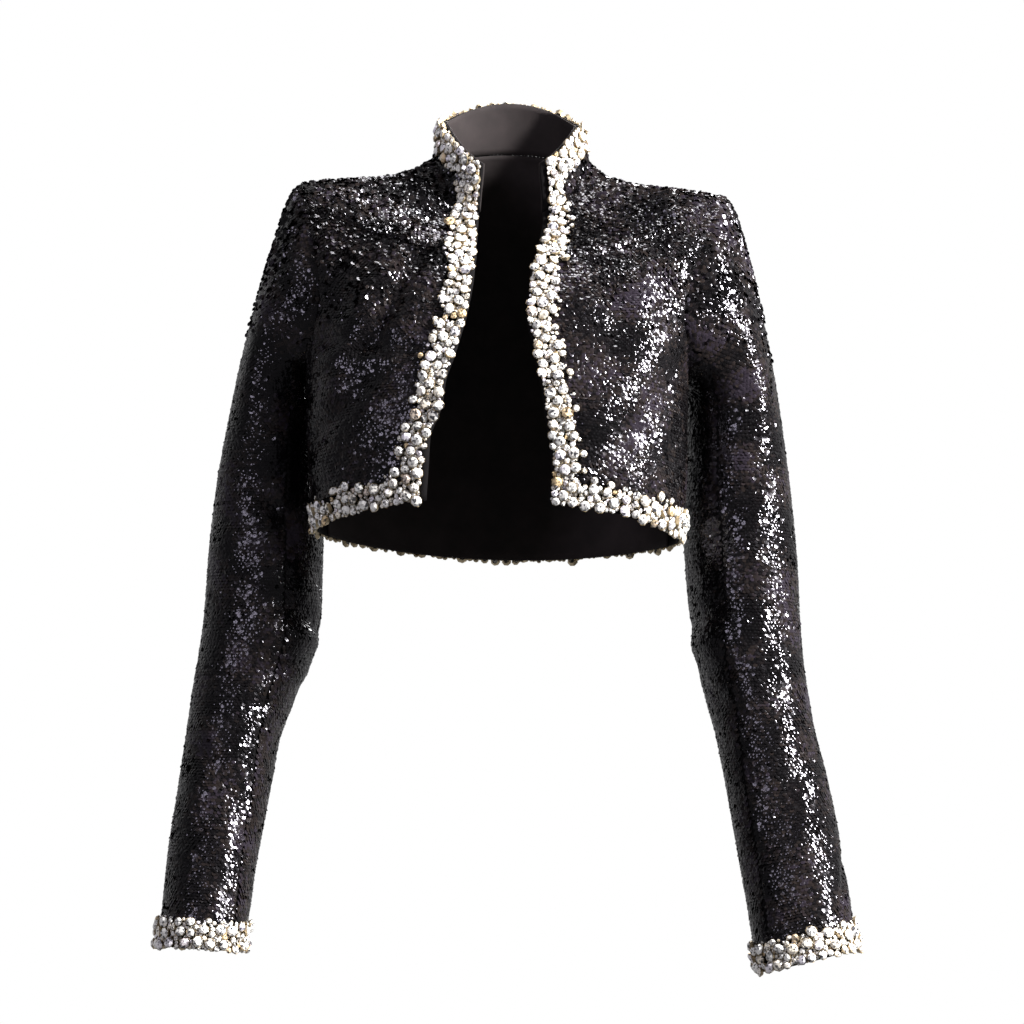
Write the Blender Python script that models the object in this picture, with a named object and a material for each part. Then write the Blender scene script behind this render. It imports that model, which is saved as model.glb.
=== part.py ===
"""A cropped matador jacket with a stand collar, long set-in sleeves and a beaded band along its edges.

The jacket keeps the hollow form it has when worn. X runs to the wearer's left, Y to the back and Z up, in
metres. The origin lies between the two shoulder seams, at the base of the neck.
"""
import math

import bpy
import numpy as np

# Cloth, lining and seams
CLOTH = 0.0022
LINING = 0.0012
SEAM_GAP = 0.0003

# Beaded band: its width, the bed that the beads are set in, and how far a large bead stands above it
BAND_WIDTH = 0.024
BAND_CELLS = 1
BAND_BED = 0.0040
BEAD_RISE = 0.0026
BEAD_PITCH = 0.0080
CUFF_BEADS_PER_CELL = 2

# Heights of the torso's landmarks, measured along the cloth from the hem
HEM = 0.0
UNDERARM = 0.135
SHOULDER_TIP = 0.308
NECK = 0.430

# The armhole's width before and behind the side line, in degrees round the torso
ARMHOLE_FRONT = math.radians(36)
ARMHOLE_BACK = math.radians(34)

# Power of the armhole's rounding at its top; it is 1, a plain oval, at the underarm
ARMHOLE_TOP_POWER = 0.75

# Turn round the armhole covered by its first and last cell
ARMHOLE_END = math.radians(27)

# Numbers of cells, and the heights of the collar's rows
ROWS_BELOW_UNDERARM = 5
ROWS_ALONG_ARMHOLE = 10
ROWS_OVER_SHOULDER = 4
FRONT_COLUMNS = 9
BACK_COLUMNS = 16
CAP_ROWS = 7
ARM_ROWS = 11
COLLAR_RISES = (0.0, 0.4, 1.0)

TORSO_COLUMNS = ("height z_side z_front z_back half_width x_mid y_mid front_depth back_depth "
                 "front_power back_power drop side_angle")
TORSO_ROWS = (
    # hem
    (HEM, -0.320, -0.296, -0.333, 0.1560, -0.0015, -0.024, 0.100, 0.100, 2.5, 2.1, 2.0, 106),
    # ribs
    (0.055, -0.267, -0.249, -0.274, 0.1620, -0.0030, -0.026, 0.103, 0.109, 2.5, 2.05, 2.0, 107),
    # bust
    (0.110, -0.212, -0.200, -0.214, 0.1640, -0.0060, -0.026, 0.105, 0.114, 2.5, 2.05, 2.0, 107),
    # underarm
    (UNDERARM, -0.187, -0.178, -0.186, 0.1640, -0.0060, -0.022, 0.103, 0.112, 2.6, 2.15, 2.0, 106),
    # chest
    (0.195, -0.127, -0.130, -0.120, 0.1680, -0.0040, -0.014, 0.096, 0.105, 2.8, 2.8, 1.8, 100),
    # shoulder blades
    (0.255, -0.066, -0.099, -0.070, 0.1850, -0.0020, -0.004, 0.091, 0.090, 2.6, 2.8, 1.5, 94),
    (0.288, -0.034, -0.086, -0.048, 0.1885, -0.0010, 0.002, 0.087, 0.080, 2.5, 2.6, 1.4, 91),
    # ring through the shoulder tips
    (SHOULDER_TIP, -0.014, -0.079, -0.034, 0.1815, -0.0010, 0.004, 0.083, 0.072, 2.4, 2.4, 1.4, 90),
    # shoulder slope
    (0.322, -0.0115, -0.075, -0.026, 0.1690, -0.0010, 0.004, 0.081, 0.070, 2.4, 2.4, 1.4, 90),
    (0.345, -0.009, -0.070, -0.016, 0.1480, -0.0010, 0.005, 0.077, 0.067, 2.4, 2.4, 1.4, 90),
    (0.385, -0.005, -0.060, 0.005, 0.1100, -0.0010, 0.006, 0.069, 0.061, 2.3, 2.3, 1.3, 90),
    (0.412, 0.002, -0.053, 0.018, 0.0840, -0.0010, 0.006, 0.064, 0.057, 2.2, 2.2, 1.4, 90),
    # neck seam
    (NECK, 0.013, -0.048, 0.028, 0.0670, 0.0000, 0.006, 0.061, 0.053, 2.1, 2.1, 1.5, 90),
)

COLLAR_COLUMNS = ("rise z_side z_front z_back half_width x_mid y_mid front_depth back_depth "
                  "front_power back_power drop side_angle")
COLLAR_ROWS = (
    (0.0, 0.013, -0.048, 0.028, 0.0670, 0.0000, 0.006, 0.061, 0.053, 2.1, 2.1, 1.5, 90),
    (0.5, 0.030, -0.028, 0.051, 0.0625, 0.0000, 0.005, 0.063, 0.051, 2.1, 2.1, 1.6, 90),
    (1.0, 0.047, -0.006, 0.073, 0.0600, -0.0010, 0.004, 0.064, 0.051, 2.1, 2.1, 1.7, 90),
)

# Where each front edge runs, as x at a height z; the search for its angle starts at a guess and is repeated
EDGE_COLUMNS = "z right_x left_x"
EDGE_ROWS = (
    (-0.300, -0.0625, 0.0400),
    (-0.272, -0.0615, 0.0420),
    (-0.247, -0.0605, 0.0400),
    (-0.222, -0.0525, 0.0345),
    (-0.198, -0.0485, 0.0300),
    (-0.168, -0.0405, 0.0240),
    (-0.135, -0.0330, 0.0180),
    (-0.100, -0.0280, 0.0195),
    (-0.070, -0.0270, 0.0265),
    (-0.035, -0.0260, 0.0290),
    (-0.004, -0.0240, 0.0260),
)

EDGE_GUESS = 0.3
EDGE_SEARCHES = 8

# Level cuts through each sleeve: the far and near sides from the body's middle, the middle's y, the depth
# from front to back, the turn of the cut and how much its outer side rises
SLEEVE_COLUMNS = "z outer_x inner_x y_mid depth turn slope"
SLEEVE_ROWS = {
    "right": (
        (-0.680, 0.2803, 0.2095, -0.024, 0.085, -6, 0.04),
        (-0.605, 0.2770, 0.2020, -0.006, 0.088, -3, 0.03),
        (-0.535, 0.2700, 0.1925, 0.010, 0.092, 0, 0.02),
        (-0.500, 0.2665, 0.1880, 0.018, 0.096, 4, 0.01),
        (-0.467, 0.2635, 0.1775, 0.026, 0.101, 8, 0.00),
        (-0.430, 0.2585, 0.1620, 0.032, 0.107, 11, 0.00),
        (-0.393, 0.2545, 0.1565, 0.035, 0.111, 13, 0.00),
        (-0.340, 0.2520, 0.1575, 0.036, 0.114, 14, 0.00),
        (-0.273, 0.2455, 0.1590, 0.037, 0.121, 14, 0.00),
        (-0.225, 0.2370, 0.1600, 0.036, 0.130, 14, 0.00),
    ),
    "left": (
        (-0.675, 0.3146, 0.2330, -0.031, 0.080, -6, 0.28),
        (-0.600, 0.3035, 0.2190, -0.010, 0.086, -3, 0.22),
        (-0.523, 0.2890, 0.2035, 0.010, 0.092, 0, 0.10),
        (-0.488, 0.2800, 0.1960, 0.018, 0.096, 4, 0.05),
        (-0.453, 0.2725, 0.1860, 0.026, 0.101, 8, 0.02),
        (-0.418, 0.2665, 0.1745, 0.032, 0.107, 11, 0.00),
        (-0.383, 0.2625, 0.1710, 0.035, 0.111, 13, 0.00),
        (-0.331, 0.2585, 0.1660, 0.036, 0.114, 14, 0.00),
        (-0.273, 0.2510, 0.1610, 0.037, 0.121, 14, 0.00),
        (-0.225, 0.2425, 0.1600, 0.036, 0.130, 14, 0.00),
    ),
}
SLEEVE_POWER = 2.2

# Stretch of cloth up and down over which the torso's rings are blended, widest in the middle of the front and
# the back; the steps within it and their weights
BLEND_REACH = 0.034
BLEND_POWER = 0.7
BLEND_COLUMNS = "step weight"
BLEND_ROWS = ((-1.0, 0.12), (-0.66, 0.16), (-0.33, 0.20), (0.0, 0.04), (0.33, 0.20), (0.66, 0.16), (1.0, 0.12))

# Sleeve head: how far the cloth runs level out of the armhole at the shoulder tip, half-way down and at the
# underarm, and how steeply that start rises
HEAD_COLUMNS = "side start_tip start_notch start_underarm lift_tip lift_underarm"
HEAD_ROWS = (
    ("right", 0.015, 0.022, 0.012, -0.10, 0.30),
    ("left", 0.023, 0.022, 0.012, 0.68, 0.30),
)

# Powers that keep each rise close to its end of the armhole, the share of the head that runs straight into
# the arm and the length of arm that gives its direction
LIFT_TIP_POWER = 6
LIFT_UNDERARM_POWER = 3
HEAD_RUN = 0.62
HEAD_AHEAD = 0.03

# Columns of cells from the underarm line to the sleeve's front seam and to its back seam
FRONT_SEAM_STEP = 3
BACK_SEAM_STEP = 3

# Largest folds of the torso, as lines seen from the front or the back: ends, half width and height (troughs
# below 0)
FOLD_COLUMNS = "x0 z0 x1 z1 half_width height"
FRONT_FOLDS = (
    # wearer's right: from the collar down, across the bust, and drawn from the armpit
    (-0.056, -0.035, -0.126, -0.188, 0.011, -0.0048),
    (-0.080, -0.055, -0.146, -0.185, 0.012, 0.0038),
    (-0.050, -0.075, -0.104, -0.178, 0.010, 0.0026),
    (-0.155, -0.158, -0.085, -0.168, 0.010, -0.0050),
    (-0.158, -0.240, -0.104, -0.185, 0.011, -0.0045),
    (-0.150, -0.215, -0.116, -0.176, 0.010, 0.0030),
    (-0.140, -0.060, -0.146, -0.130, 0.013, -0.0030),
    # wearer's left: softer
    (0.150, -0.175, 0.104, -0.245, 0.014, -0.0035),
    (0.132, -0.150, 0.080, -0.225, 0.016, 0.0025),
    (0.078, -0.060, 0.092, -0.140, 0.015, -0.0030),
    (0.128, -0.060, 0.140, -0.140, 0.013, -0.0025),
    (0.152, -0.262, 0.112, -0.232, 0.012, -0.0030),
)
BACK_FOLDS = (
    (-0.118, -0.090, -0.104, -0.220, 0.015, -0.0035),
    (0.112, -0.080, 0.100, -0.210, 0.015, -0.0035),
    (-0.060, -0.235, -0.030, -0.300, 0.018, 0.0030),
    (0.050, -0.225, 0.062, -0.300, 0.018, 0.0030),
    (-0.090, 0.006, 0.090, 0.006, 0.012, -0.0020),
)

# How fast the folds come up from the side line to the front and the back, and the stretch below the shoulder
# seam over which those of the front fade
FOLD_REACH_FRONT = 3.0
FOLD_REACH_BACK = 2.5
FOLD_FADE_ABOVE_TIP = 0.02
FOLD_FADE = 0.05

# Creases across the sleeves: height, the angle round the sleeve from the underarm forward, half length round
# it, half width up and down, the climb to the front and the height of the fold (troughs below 0)
CREASE_COLUMNS = "z around half_length half_width climb height"
CREASES = {
    "right": (
        (-0.392, 20, 60, 0.011, 0.020, -0.0034),
        (-0.412, 10, 65, 0.011, 0.010, 0.0024),
        (-0.434, 25, 70, 0.012, -0.012, -0.0036),
        (-0.462, 15, 60, 0.012, -0.020, -0.0030),
        (-0.482, 45, 45, 0.012, -0.030, 0.0022),
        (-0.300, 60, 50, 0.014, 0.045, -0.0035),
        (-0.250, 300, 55, 0.013, 0.040, -0.0040),
        (-0.545, 80, 60, 0.016, 0.050, -0.0025),
    ),
    "left": (
        (-0.378, 15, 60, 0.011, 0.020, -0.0030),
        (-0.402, 20, 65, 0.011, 0.014, 0.0020),
        (-0.424, 12, 70, 0.012, -0.010, -0.0034),
        (-0.452, 25, 55, 0.012, -0.025, -0.0028),
        (-0.300, 60, 50, 0.014, 0.045, -0.0030),
        (-0.250, 300, 55, 0.013, 0.040, -0.0040),
        (-0.585, 190, 45, 0.012, 0.045, -0.0045),
        (-0.540, 90, 60, 0.016, 0.050, -0.0025),
    ),
}

MATERIALS = {
    # colour, roughness, metallic
    "sequinned_cloth": ((0.012, 0.011, 0.013, 1.0), 0.22, 0.0),
    "lining_cloth": ((0.030, 0.024, 0.024, 1.0), 0.65, 0.0),
    "crystal_band": ((0.62, 0.60, 0.56, 1.0), 0.15, 0.1),
}

SIDES = {"left": 1.0, "right": -1.0}

# Steps over which the directions of the walls are evened, along the two places of each surface
TORSO_STEPS = (0.04, 0.008)
COLLAR_STEPS = (0.04, 0.10)
SLEEVE_STEPS = (0.06, 0.03)
LEAST_MITRE = 0.75

# Passes that even the columns of a panel from row to row, and the points that a row's length is measured with
EASING_PASSES = 4
ROW_SAMPLES = 240

# Small step for a surface's slope, and the least length taken as a length
SLOPE_STEP = 1e-4
LEAST_LENGTH = 1e-12

# Share of the rise that the smallest bead has, share that the bed between beads has, and the uneven pattern
BEAD_LEAST = 0.55
BED_UNEVEN = 0.15
BEAD_PATTERN = (12.99, 78.23, 43.76)

# Edges sharper than this are shown as edges
SHARP_ANGLE = math.radians(50)


class Table:
    """Rows of named columns, read between the rows on a smooth curve that never overshoots them."""

    def __init__(self, columns, rows):
        self.names = columns.split()[1:]
        rows = np.array(rows, dtype=float)
        rows = rows[np.argsort(rows[:, 0])]
        self.knots = rows[:, 0]
        self.values = rows[:, 1:]
        self.steps = np.diff(self.knots)[:, None]
        rises = np.diff(self.values, axis=0) / self.steps
        before, after = rises[:-1], rises[1:]
        same_way = before * after > 0
        near = 2 * self.steps[1:] + self.steps[:-1]
        far = self.steps[1:] + 2 * self.steps[:-1]
        blended = (near + far) / (near / np.where(same_way, before, 1) + far / np.where(same_way, after, 1))
        self.slopes = np.vstack([rises[:1], np.where(same_way, blended, 0), rises[-1:]])

    def at(self, place):
        """Every column's value at the given places, by name."""
        place = np.clip(np.asarray(place, dtype=float), self.knots[0], self.knots[-1])
        index = np.clip(np.searchsorted(self.knots, place, side="right") - 1, 0, len(self.knots) - 2)
        step = self.steps[index, 0]
        t = ((place - self.knots[index]) / step)[..., None]
        step = step[..., None]
        value = ((2 * t**3 - 3 * t**2 + 1) * self.values[index]
                 + (t**3 - 2 * t**2 + t) * step * self.slopes[index]
                 + (3 * t**2 - 2 * t**3) * self.values[index + 1]
                 + (t**3 - t**2) * step * self.slopes[index + 1])
        return {name: value[..., i] for i, name in enumerate(self.names)}


def named(columns, rows):
    """Rows as dictionaries by column name."""
    names = columns.split()
    return [dict(zip(names, row)) for row in rows]


TORSO = Table(TORSO_COLUMNS, TORSO_ROWS)
COLLAR = Table(COLLAR_COLUMNS, COLLAR_ROWS)
EDGES = Table(EDGE_COLUMNS, EDGE_ROWS)
SLEEVES = {side: Table(SLEEVE_COLUMNS, rows) for side, rows in SLEEVE_ROWS.items()}
HEADS = {row["side"]: row for row in named(HEAD_COLUMNS, HEAD_ROWS)}


def unit(vectors):
    """The vectors at length one."""
    return vectors / np.maximum(np.linalg.norm(vectors, axis=-1, keepdims=True), LEAST_LENGTH)


def signed_power(value, power):
    """A power that keeps the sign, for rounded-square cuts."""
    return np.sign(value) * np.abs(value)**power


def line_fold(x, z, folds):
    """Height of the folds at places seen from the front or the back."""
    total = np.zeros(np.shape(x))
    for fold in named(FOLD_COLUMNS, folds):
        away_x, away_z = x - fold["x0"], z - fold["z0"]
        along_x, along_z = fold["x1"] - fold["x0"], fold["z1"] - fold["z0"]
        share = (away_x * along_x + away_z * along_z) / (along_x**2 + along_z**2)
        share = np.clip(share, 0, 1)
        far = np.hypot(away_x - share * along_x, away_z - share * along_z)
        total = total + fold["height"] * np.exp(-(far / fold["half_width"])**2)
    return total


def ring_point(ring, angle):
    """Point of a closed ring; the angle runs from the front by the wearer's left side to the back."""
    front, side = np.cos(angle), np.sin(angle)
    ahead = front >= 0
    power = 2 / np.where(ahead, ring["front_power"], ring["back_power"])
    depth = np.where(ahead, ring["front_depth"], ring["back_depth"])
    end_z = np.where(ahead, ring["z_front"], ring["z_back"])
    x = ring["x_mid"] + ring["half_width"] * signed_power(side, power)
    y = ring["y_mid"] - depth * signed_power(front, power)
    z = ring["z_side"] + (end_z - ring["z_side"]) * np.abs(front)**ring["drop"]
    return np.stack([x, y, z], axis=-1)


def folded(point_at, angle, place, height_at):
    """A surface's points moved out along its normals by its folds."""
    base = point_at(angle, place)
    across = point_at(angle + SLOPE_STEP, place) - point_at(angle - SLOPE_STEP, place)
    up = point_at(angle, place + SLOPE_STEP) - point_at(angle, place - SLOPE_STEP)
    return base + unit(np.cross(across, up)) * height_at(angle, place, base)[..., None]


def blended_ring(angle, height):
    """Torso without its folds: its rings blended up and down, but not at the hem, the neck or the side line."""
    reach = BLEND_REACH * np.abs(np.cos(angle))**BLEND_POWER
    reach = np.clip(np.minimum(reach, np.minimum(height - HEM, NECK - height)), 0, None)
    total = 0
    for row in named(BLEND_COLUMNS, BLEND_ROWS):
        total = total + row["weight"] * ring_point(TORSO.at(height + row["step"] * reach), angle)
    return total


def torso_fold(angle, height, point):
    """Folds of the fronts and the back, fading towards the side line and the shoulder."""
    front = np.clip(np.cos(angle) * FOLD_REACH_FRONT, 0, 1)
    back = np.clip(-np.cos(angle) * FOLD_REACH_BACK, 0, 1)
    calm = np.clip((SHOULDER_TIP + FOLD_FADE_ABOVE_TIP - height) / FOLD_FADE, 0, 1)
    ahead = line_fold(point[..., 0], point[..., 2], FRONT_FOLDS) * calm
    behind = line_fold(point[..., 0], point[..., 2], BACK_FOLDS)
    return ahead * front + behind * back


def torso_point(angle, height):
    """Outer face of the torso at an angle round it and a height along the cloth from the hem."""
    return folded(blended_ring, angle, height, torso_fold)


def collar_point(angle, rise):
    """Outer face of the collar, from its seam (0) to its top edge (1)."""
    return ring_point(COLLAR.at(rise), angle)


def side_line(height):
    """Angle of the wearer's left side seam and shoulder seam."""
    return np.radians(TORSO.at(height)["side_angle"])


def edge_angle(side, table, place):
    """Angle at which a front edge crosses a ring, found from where the edge runs."""
    ring = table.at(place)
    angle = np.full(np.shape(place), EDGE_GUESS)
    for _ in range(EDGE_SEARCHES):
        z = ring_point(ring, angle * SIDES[side])[..., 2]
        x = EDGES.at(z)[side + "_x"]
        share = np.abs(x - ring["x_mid"]) / ring["half_width"]
        angle = np.arcsin(np.clip(share, 0, 1)**(ring["front_power"] / 2))
    return angle


def armhole_place(turn):
    """Angle and height on the torso of a point of the left armhole; turn is 0 low down and runs forward."""
    share = (1 - np.cos(turn)) / 2
    height = UNDERARM + (SHOULDER_TIP - UNDERARM) * share
    swing = signed_power(np.sin(turn), 1 + (ARMHOLE_TOP_POWER - 1) * share)
    spread = np.where(swing >= 0, ARMHOLE_FRONT, ARMHOLE_BACK) * swing
    return side_line(height) - spread, height


def armhole_point(side, turn):
    """Point of an armhole's seam line."""
    angle, height = armhole_place(turn)
    if side == "right":
        angle = 2 * math.pi - angle
    return torso_point(angle, height)


def sleeve_cut(side, turn, z):
    """Point of a level cut through the arm; turn is 0 at the inner side and runs forward."""
    row = SLEEVES[side].at(z)
    half_width = (row["outer_x"] - row["inner_x"]) / 2
    toward = signed_power(np.cos(turn), 2 / SLEEVE_POWER) * half_width
    ahead = signed_power(np.sin(turn), 2 / SLEEVE_POWER) * row["depth"] / 2
    swing = np.radians(row["turn"])
    inward = toward * np.cos(swing) - ahead * np.sin(swing)
    forward = ahead * np.cos(swing) + toward * np.sin(swing)
    out = (row["outer_x"] + row["inner_x"]) / 2 - inward
    rise = -inward * row["slope"]
    return np.stack([SIDES[side] * out, row["y_mid"] - forward, z + rise], axis=-1)


def crease(side, turn, z):
    """Height of the creases across a sleeve."""
    total = np.zeros(np.broadcast(turn, z).shape)
    for row in named(CREASE_COLUMNS, CREASES[side]):
        away = (turn - math.radians(row["around"]) + math.pi) % (2 * math.pi) - math.pi
        share = away / math.radians(row["half_length"])
        line = row["z"] + row["climb"] * share
        total = total + row["height"] * np.exp(-share**2 - ((z - line) / row["half_width"])**2)
    return total


def arm_point(side, turn, z):
    """Outer face of the sleeve below its head."""
    base = sleeve_cut(side, turn, z)
    around = sleeve_cut(side, turn + SLOPE_STEP, z) - sleeve_cut(side, turn - SLOPE_STEP, z)
    down = sleeve_cut(side, turn, z - SLOPE_STEP) - sleeve_cut(side, turn, z + SLOPE_STEP)
    out = unit(np.cross(down, around)) * SIDES[side]
    return base + out * crease(side, turn, z)[..., None]


def head_point(side, turn, share):
    """Outer face of the sleeve head, from the armhole (0) to the top of the arm (1)."""
    row = HEADS[side]
    top = SLEEVES[side].knots[-1]
    seam = armhole_point(side, turn)
    end = arm_point(side, turn, np.full(np.shape(turn), top))
    ahead = arm_point(side, turn, np.full(np.shape(turn), top - HEAD_AHEAD))
    tip = (1 - np.cos(turn)) / 2
    notch = np.sin(turn)**2
    start = row["start_tip"] * tip + row["start_underarm"] * (1 - tip)
    start = start * (1 - notch) + row["start_notch"] * notch
    lift = row["lift_tip"] * tip**LIFT_TIP_POWER + row["lift_underarm"] * (1 - tip)**LIFT_UNDERARM_POWER
    lift = lift * (1 - notch)
    out = unit(np.stack([np.full(np.shape(turn), SIDES[side]), np.zeros(np.shape(turn)), lift], axis=-1))
    run = np.linalg.norm(end - seam, axis=-1, keepdims=True) * HEAD_RUN
    first = seam + out * start[..., None]
    second = end - unit(ahead - end) * run
    t = np.asarray(share)[..., None]
    return (1 - t)**3 * seam + 3 * (1 - t)**2 * t * first + 3 * (1 - t) * t**2 * second + t**3 * end


def cuff_z(side):
    """Height of the sleeve's lower end."""
    return SLEEVES[side].knots[0]


def sleeve_point(side, turn, place):
    """Outer face of a whole sleeve; place is 0 at the armhole, 1 at the top of the arm and 2 at the cuff."""
    turn, place = np.broadcast_arrays(turn, place)
    top = SLEEVES[side].knots[-1]
    z = top + (cuff_z(side) - top) * np.clip(place - 1, 0, 1)
    head = head_point(side, turn, np.clip(place, 0, 1))
    return np.where((place < 1)[..., None], head, arm_point(side, turn, z))


def surface_normal(point_at, first, second, steps, low, high):
    """Unit normals of a surface, evened over short steps so that a wall inside it never crosses itself."""
    below = np.maximum(second - steps[1], low)
    above = np.minimum(second + steps[1], high)
    across = point_at(first + steps[0], second) - point_at(first - steps[0], second)
    up = point_at(first, above) - point_at(first, below)
    return unit(np.cross(across, up))


def mitre(first, second):
    """Shared direction for the ends of two walls that meet at a seam, long enough to keep their thickness."""
    middle = unit(first + second)
    reach = np.sum(middle * first, axis=-1, keepdims=True)
    return middle / np.maximum(reach, LEAST_MITRE)


def spaced(points_at, start, end, shares):
    """Angles from start to end that lie at the given shares of the way along a row."""
    dense = np.linspace(start, end, ROW_SAMPLES)
    points = points_at(dense)
    length = np.concatenate([[0], np.cumsum(np.linalg.norm(np.diff(points, axis=0), axis=1))])
    wanted = shares(length[-1])
    return np.interp(wanted, length, dense)


def half_turns():
    """Turns of the points up one side of an armhole, from the underarm to the shoulder tip."""
    inner = np.linspace(ARMHOLE_END, math.pi - ARMHOLE_END, ROWS_ALONG_ARMHOLE - 1)
    return np.concatenate([[0], inner, [math.pi]])


def torso_heights():
    """Heights of the torso's rows of cells, closest where the band runs and at the armhole's ends."""
    band = np.linspace(HEM, BAND_WIDTH, BAND_CELLS + 1)
    body = np.linspace(BAND_WIDTH, UNDERARM, ROWS_BELOW_UNDERARM + 1)[1:]
    armhole = UNDERARM + (SHOULDER_TIP - UNDERARM) * (1 - np.cos(half_turns()[1:])) / 2
    shoulder = np.linspace(SHOULDER_TIP, NECK, ROWS_OVER_SHOULDER + 1)[1:]
    return np.concatenate([band, body, armhole, shoulder])


def armhole_spread(height, widest):
    """How far the armhole reaches from the side line at a height; nothing outside it."""
    share = np.clip((height - UNDERARM) / (SHOULDER_TIP - UNDERARM), 0, 1)
    return widest * np.sin(np.arccos(1 - 2 * share))**(1 + (ARMHOLE_TOP_POWER - 1) * share)


def band_then_even(length):
    """Places along a row: the band's cells first and even cells after them."""
    band = np.linspace(0, BAND_WIDTH, BAND_CELLS + 1)
    rest = np.linspace(BAND_WIDTH, length, FRONT_COLUMNS + 1)[1:]
    return np.concatenate([band, rest])


def even(count):
    """Even places along a row."""
    def shares(length):
        return np.linspace(0, length, count + 1)
    return shares


def front_angles(side, height):
    """Angles of a front's columns at one height, from its front edge to the seam at its other side."""
    start = float(edge_angle(side, TORSO, np.array(height)))
    end = float(side_line(height)) - float(armhole_spread(height, ARMHOLE_FRONT))
    flip = 2 * math.pi if side == "right" else 0.0

    def row(angles):
        return torso_point(flip + SIDES[side] * angles, np.full(len(angles), height))
    return flip + SIDES[side] * spaced(row, start, end, band_then_even)


def back_angles(height):
    """Angles of the back's columns at one height, from the wearer's left to the wearer's right."""
    start = float(side_line(height)) + float(armhole_spread(height, ARMHOLE_BACK))

    def row(angles):
        return torso_point(angles, np.full(len(angles), height))
    return spaced(row, start, 2 * math.pi - start, even(BACK_COLUMNS))


def eased(angles, first):
    """Column angles with the steps between rows evened out, but for the outer columns and the first ones."""
    angles = angles.copy()
    for _ in range(EASING_PASSES):
        inner = angles[:, first:-1]
        inner[1:-1] = (inner[:-2] + 2 * inner[1:-1] + inner[2:]) / 4
    return angles


def torso_grid(angles_at, first):
    """Angles, points and normals of a panel, a row for each height."""
    heights = torso_heights()
    angles = eased(np.array([angles_at(height) for height in heights]), first)
    levels = np.repeat(heights[:, None], angles.shape[1], axis=1)
    points = torso_point(angles, levels)
    return angles, points, torso_normal(angles, levels)


def torso_normal(angle, height):
    """Unit normals of the torso, outward."""
    return surface_normal(torso_point, angle, height, TORSO_STEPS, HEM, NECK)


def sleeve_normal(side, turn, place):
    """Unit normals of a sleeve, outward."""
    def points_at(first, second):
        return sleeve_point(side, first, second)
    return surface_normal(points_at, turn, place, SLEEVE_STEPS, 0.0, 2.0) * -SIDES[side]


def collar_normal(angle, rise):
    """Unit normals of the collar, outward."""
    return surface_normal(collar_point, angle, rise, COLLAR_STEPS, 0.0, 1.0)


def armhole_turns():
    """Turns of the points round an armhole, from the underarm forward and over the shoulder tip."""
    half = half_turns()
    return np.concatenate([half, 2 * math.pi - half[-2::-1]])


def armhole_mitre(side):
    """Shared directions of the torso and the sleeve at each point of the armhole."""
    turns = armhole_turns()
    angle, height = armhole_place(turns)
    if side == "right":
        angle = 2 * math.pi - angle
    return mitre(torso_normal(angle, height), sleeve_normal(side, turns, np.zeros(len(turns))))


def set_armhole_mitre(side, normals, column, behind):
    """Give a panel's armhole edge the directions that it shares with the sleeve."""
    shared = armhole_mitre(side)
    if behind:
        shared = shared[::-1]
    first = BAND_CELLS + ROWS_BELOW_UNDERARM
    count = ROWS_ALONG_ARMHOLE + 1
    normals[first:first + count, column] = shared[:count]


def set_neck_mitre(angles, normals):
    """Give a panel's top edge the directions that it shares with the collar."""
    neck = collar_normal(angles[-1], np.zeros(angles.shape[1]))
    normals[-1] = mitre(normals[-1], neck)


def inset(points):
    """A grid's edges drawn in from their seams."""
    points = points.copy()
    points[:, 0] += unit(points[:, 1] - points[:, 0]) * SEAM_GAP / 2
    points[:, -1] += unit(points[:, -2] - points[:, -1]) * SEAM_GAP / 2
    points[0] += unit(points[1] - points[0]) * SEAM_GAP / 2
    points[-1] += unit(points[-2] - points[-1]) * SEAM_GAP / 2
    return points


def front_panel(side):
    """Angles, points and end directions of a front, columns from its front edge outward."""
    angles, points, normals = torso_grid(lambda height: front_angles(side, height), BAND_CELLS + 1)
    set_armhole_mitre(side, normals, -1, behind=False)
    set_neck_mitre(angles, normals)
    return angles, inset(points), normals


def back_panel():
    """Angles, points and end directions of the back, columns from the wearer's left to the right."""
    angles, points, normals = torso_grid(back_angles, 1)
    set_armhole_mitre("left", normals, 0, behind=True)
    set_armhole_mitre("right", normals, -1, behind=True)
    set_neck_mitre(angles, normals)
    return angles, inset(points), normals


def collar_panel(left, back, right):
    """Points and end directions of the collar, over the neck seam's own points; rows from the seam up."""
    left_neck = left[0][-1]
    right_neck = right[0][-1][::-1]
    base = np.concatenate([left_neck[:-1], back[0][-1], right_neck[1:]])
    rises = np.array(COLLAR_RISES)
    rows = []
    for rise in rises:
        ends = [float(edge_angle(side, COLLAR, np.array(rise))) for side in ("left", "right")]
        low, high = ends[0], 2 * math.pi - ends[1]
        rows.append(low + (base - base[0]) * (high - low) / (base[-1] - base[0]))
    angles = np.array(rows)
    levels = np.repeat(rises[:, None], angles.shape[1], axis=1)
    points = collar_point(angles, levels)
    normals = collar_normal(angles, levels)
    normals[0] = mitre(torso_normal(base, np.full(len(base), NECK)), normals[0])
    return angles, inset(points), normals


def sleeve_places(side):
    """Places of the sleeve's rows of cells, from the armhole to the cuff, with the band's cells last."""
    head = np.linspace(0, 1, CAP_ROWS + 1)
    length = SLEEVES[side].knots[-1] - cuff_z(side)
    band = 2 - BAND_WIDTH / length
    arm = np.linspace(1, band, ARM_ROWS + 1)[1:]
    cuff = np.linspace(band, 2, BAND_CELLS + 1)[1:]
    return np.concatenate([head, arm, cuff])


def sleeve_grid(side):
    """Points and normals of a whole sleeve, a row for each place; columns run forward from the underarm."""
    places = sleeve_places(side)
    turns = armhole_turns()
    turn, place = np.meshgrid(turns, places)
    points = sleeve_point(side, turn, place)
    normals = sleeve_normal(side, turn, place)
    normals[0] = armhole_mitre(side)
    return points, normals


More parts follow.
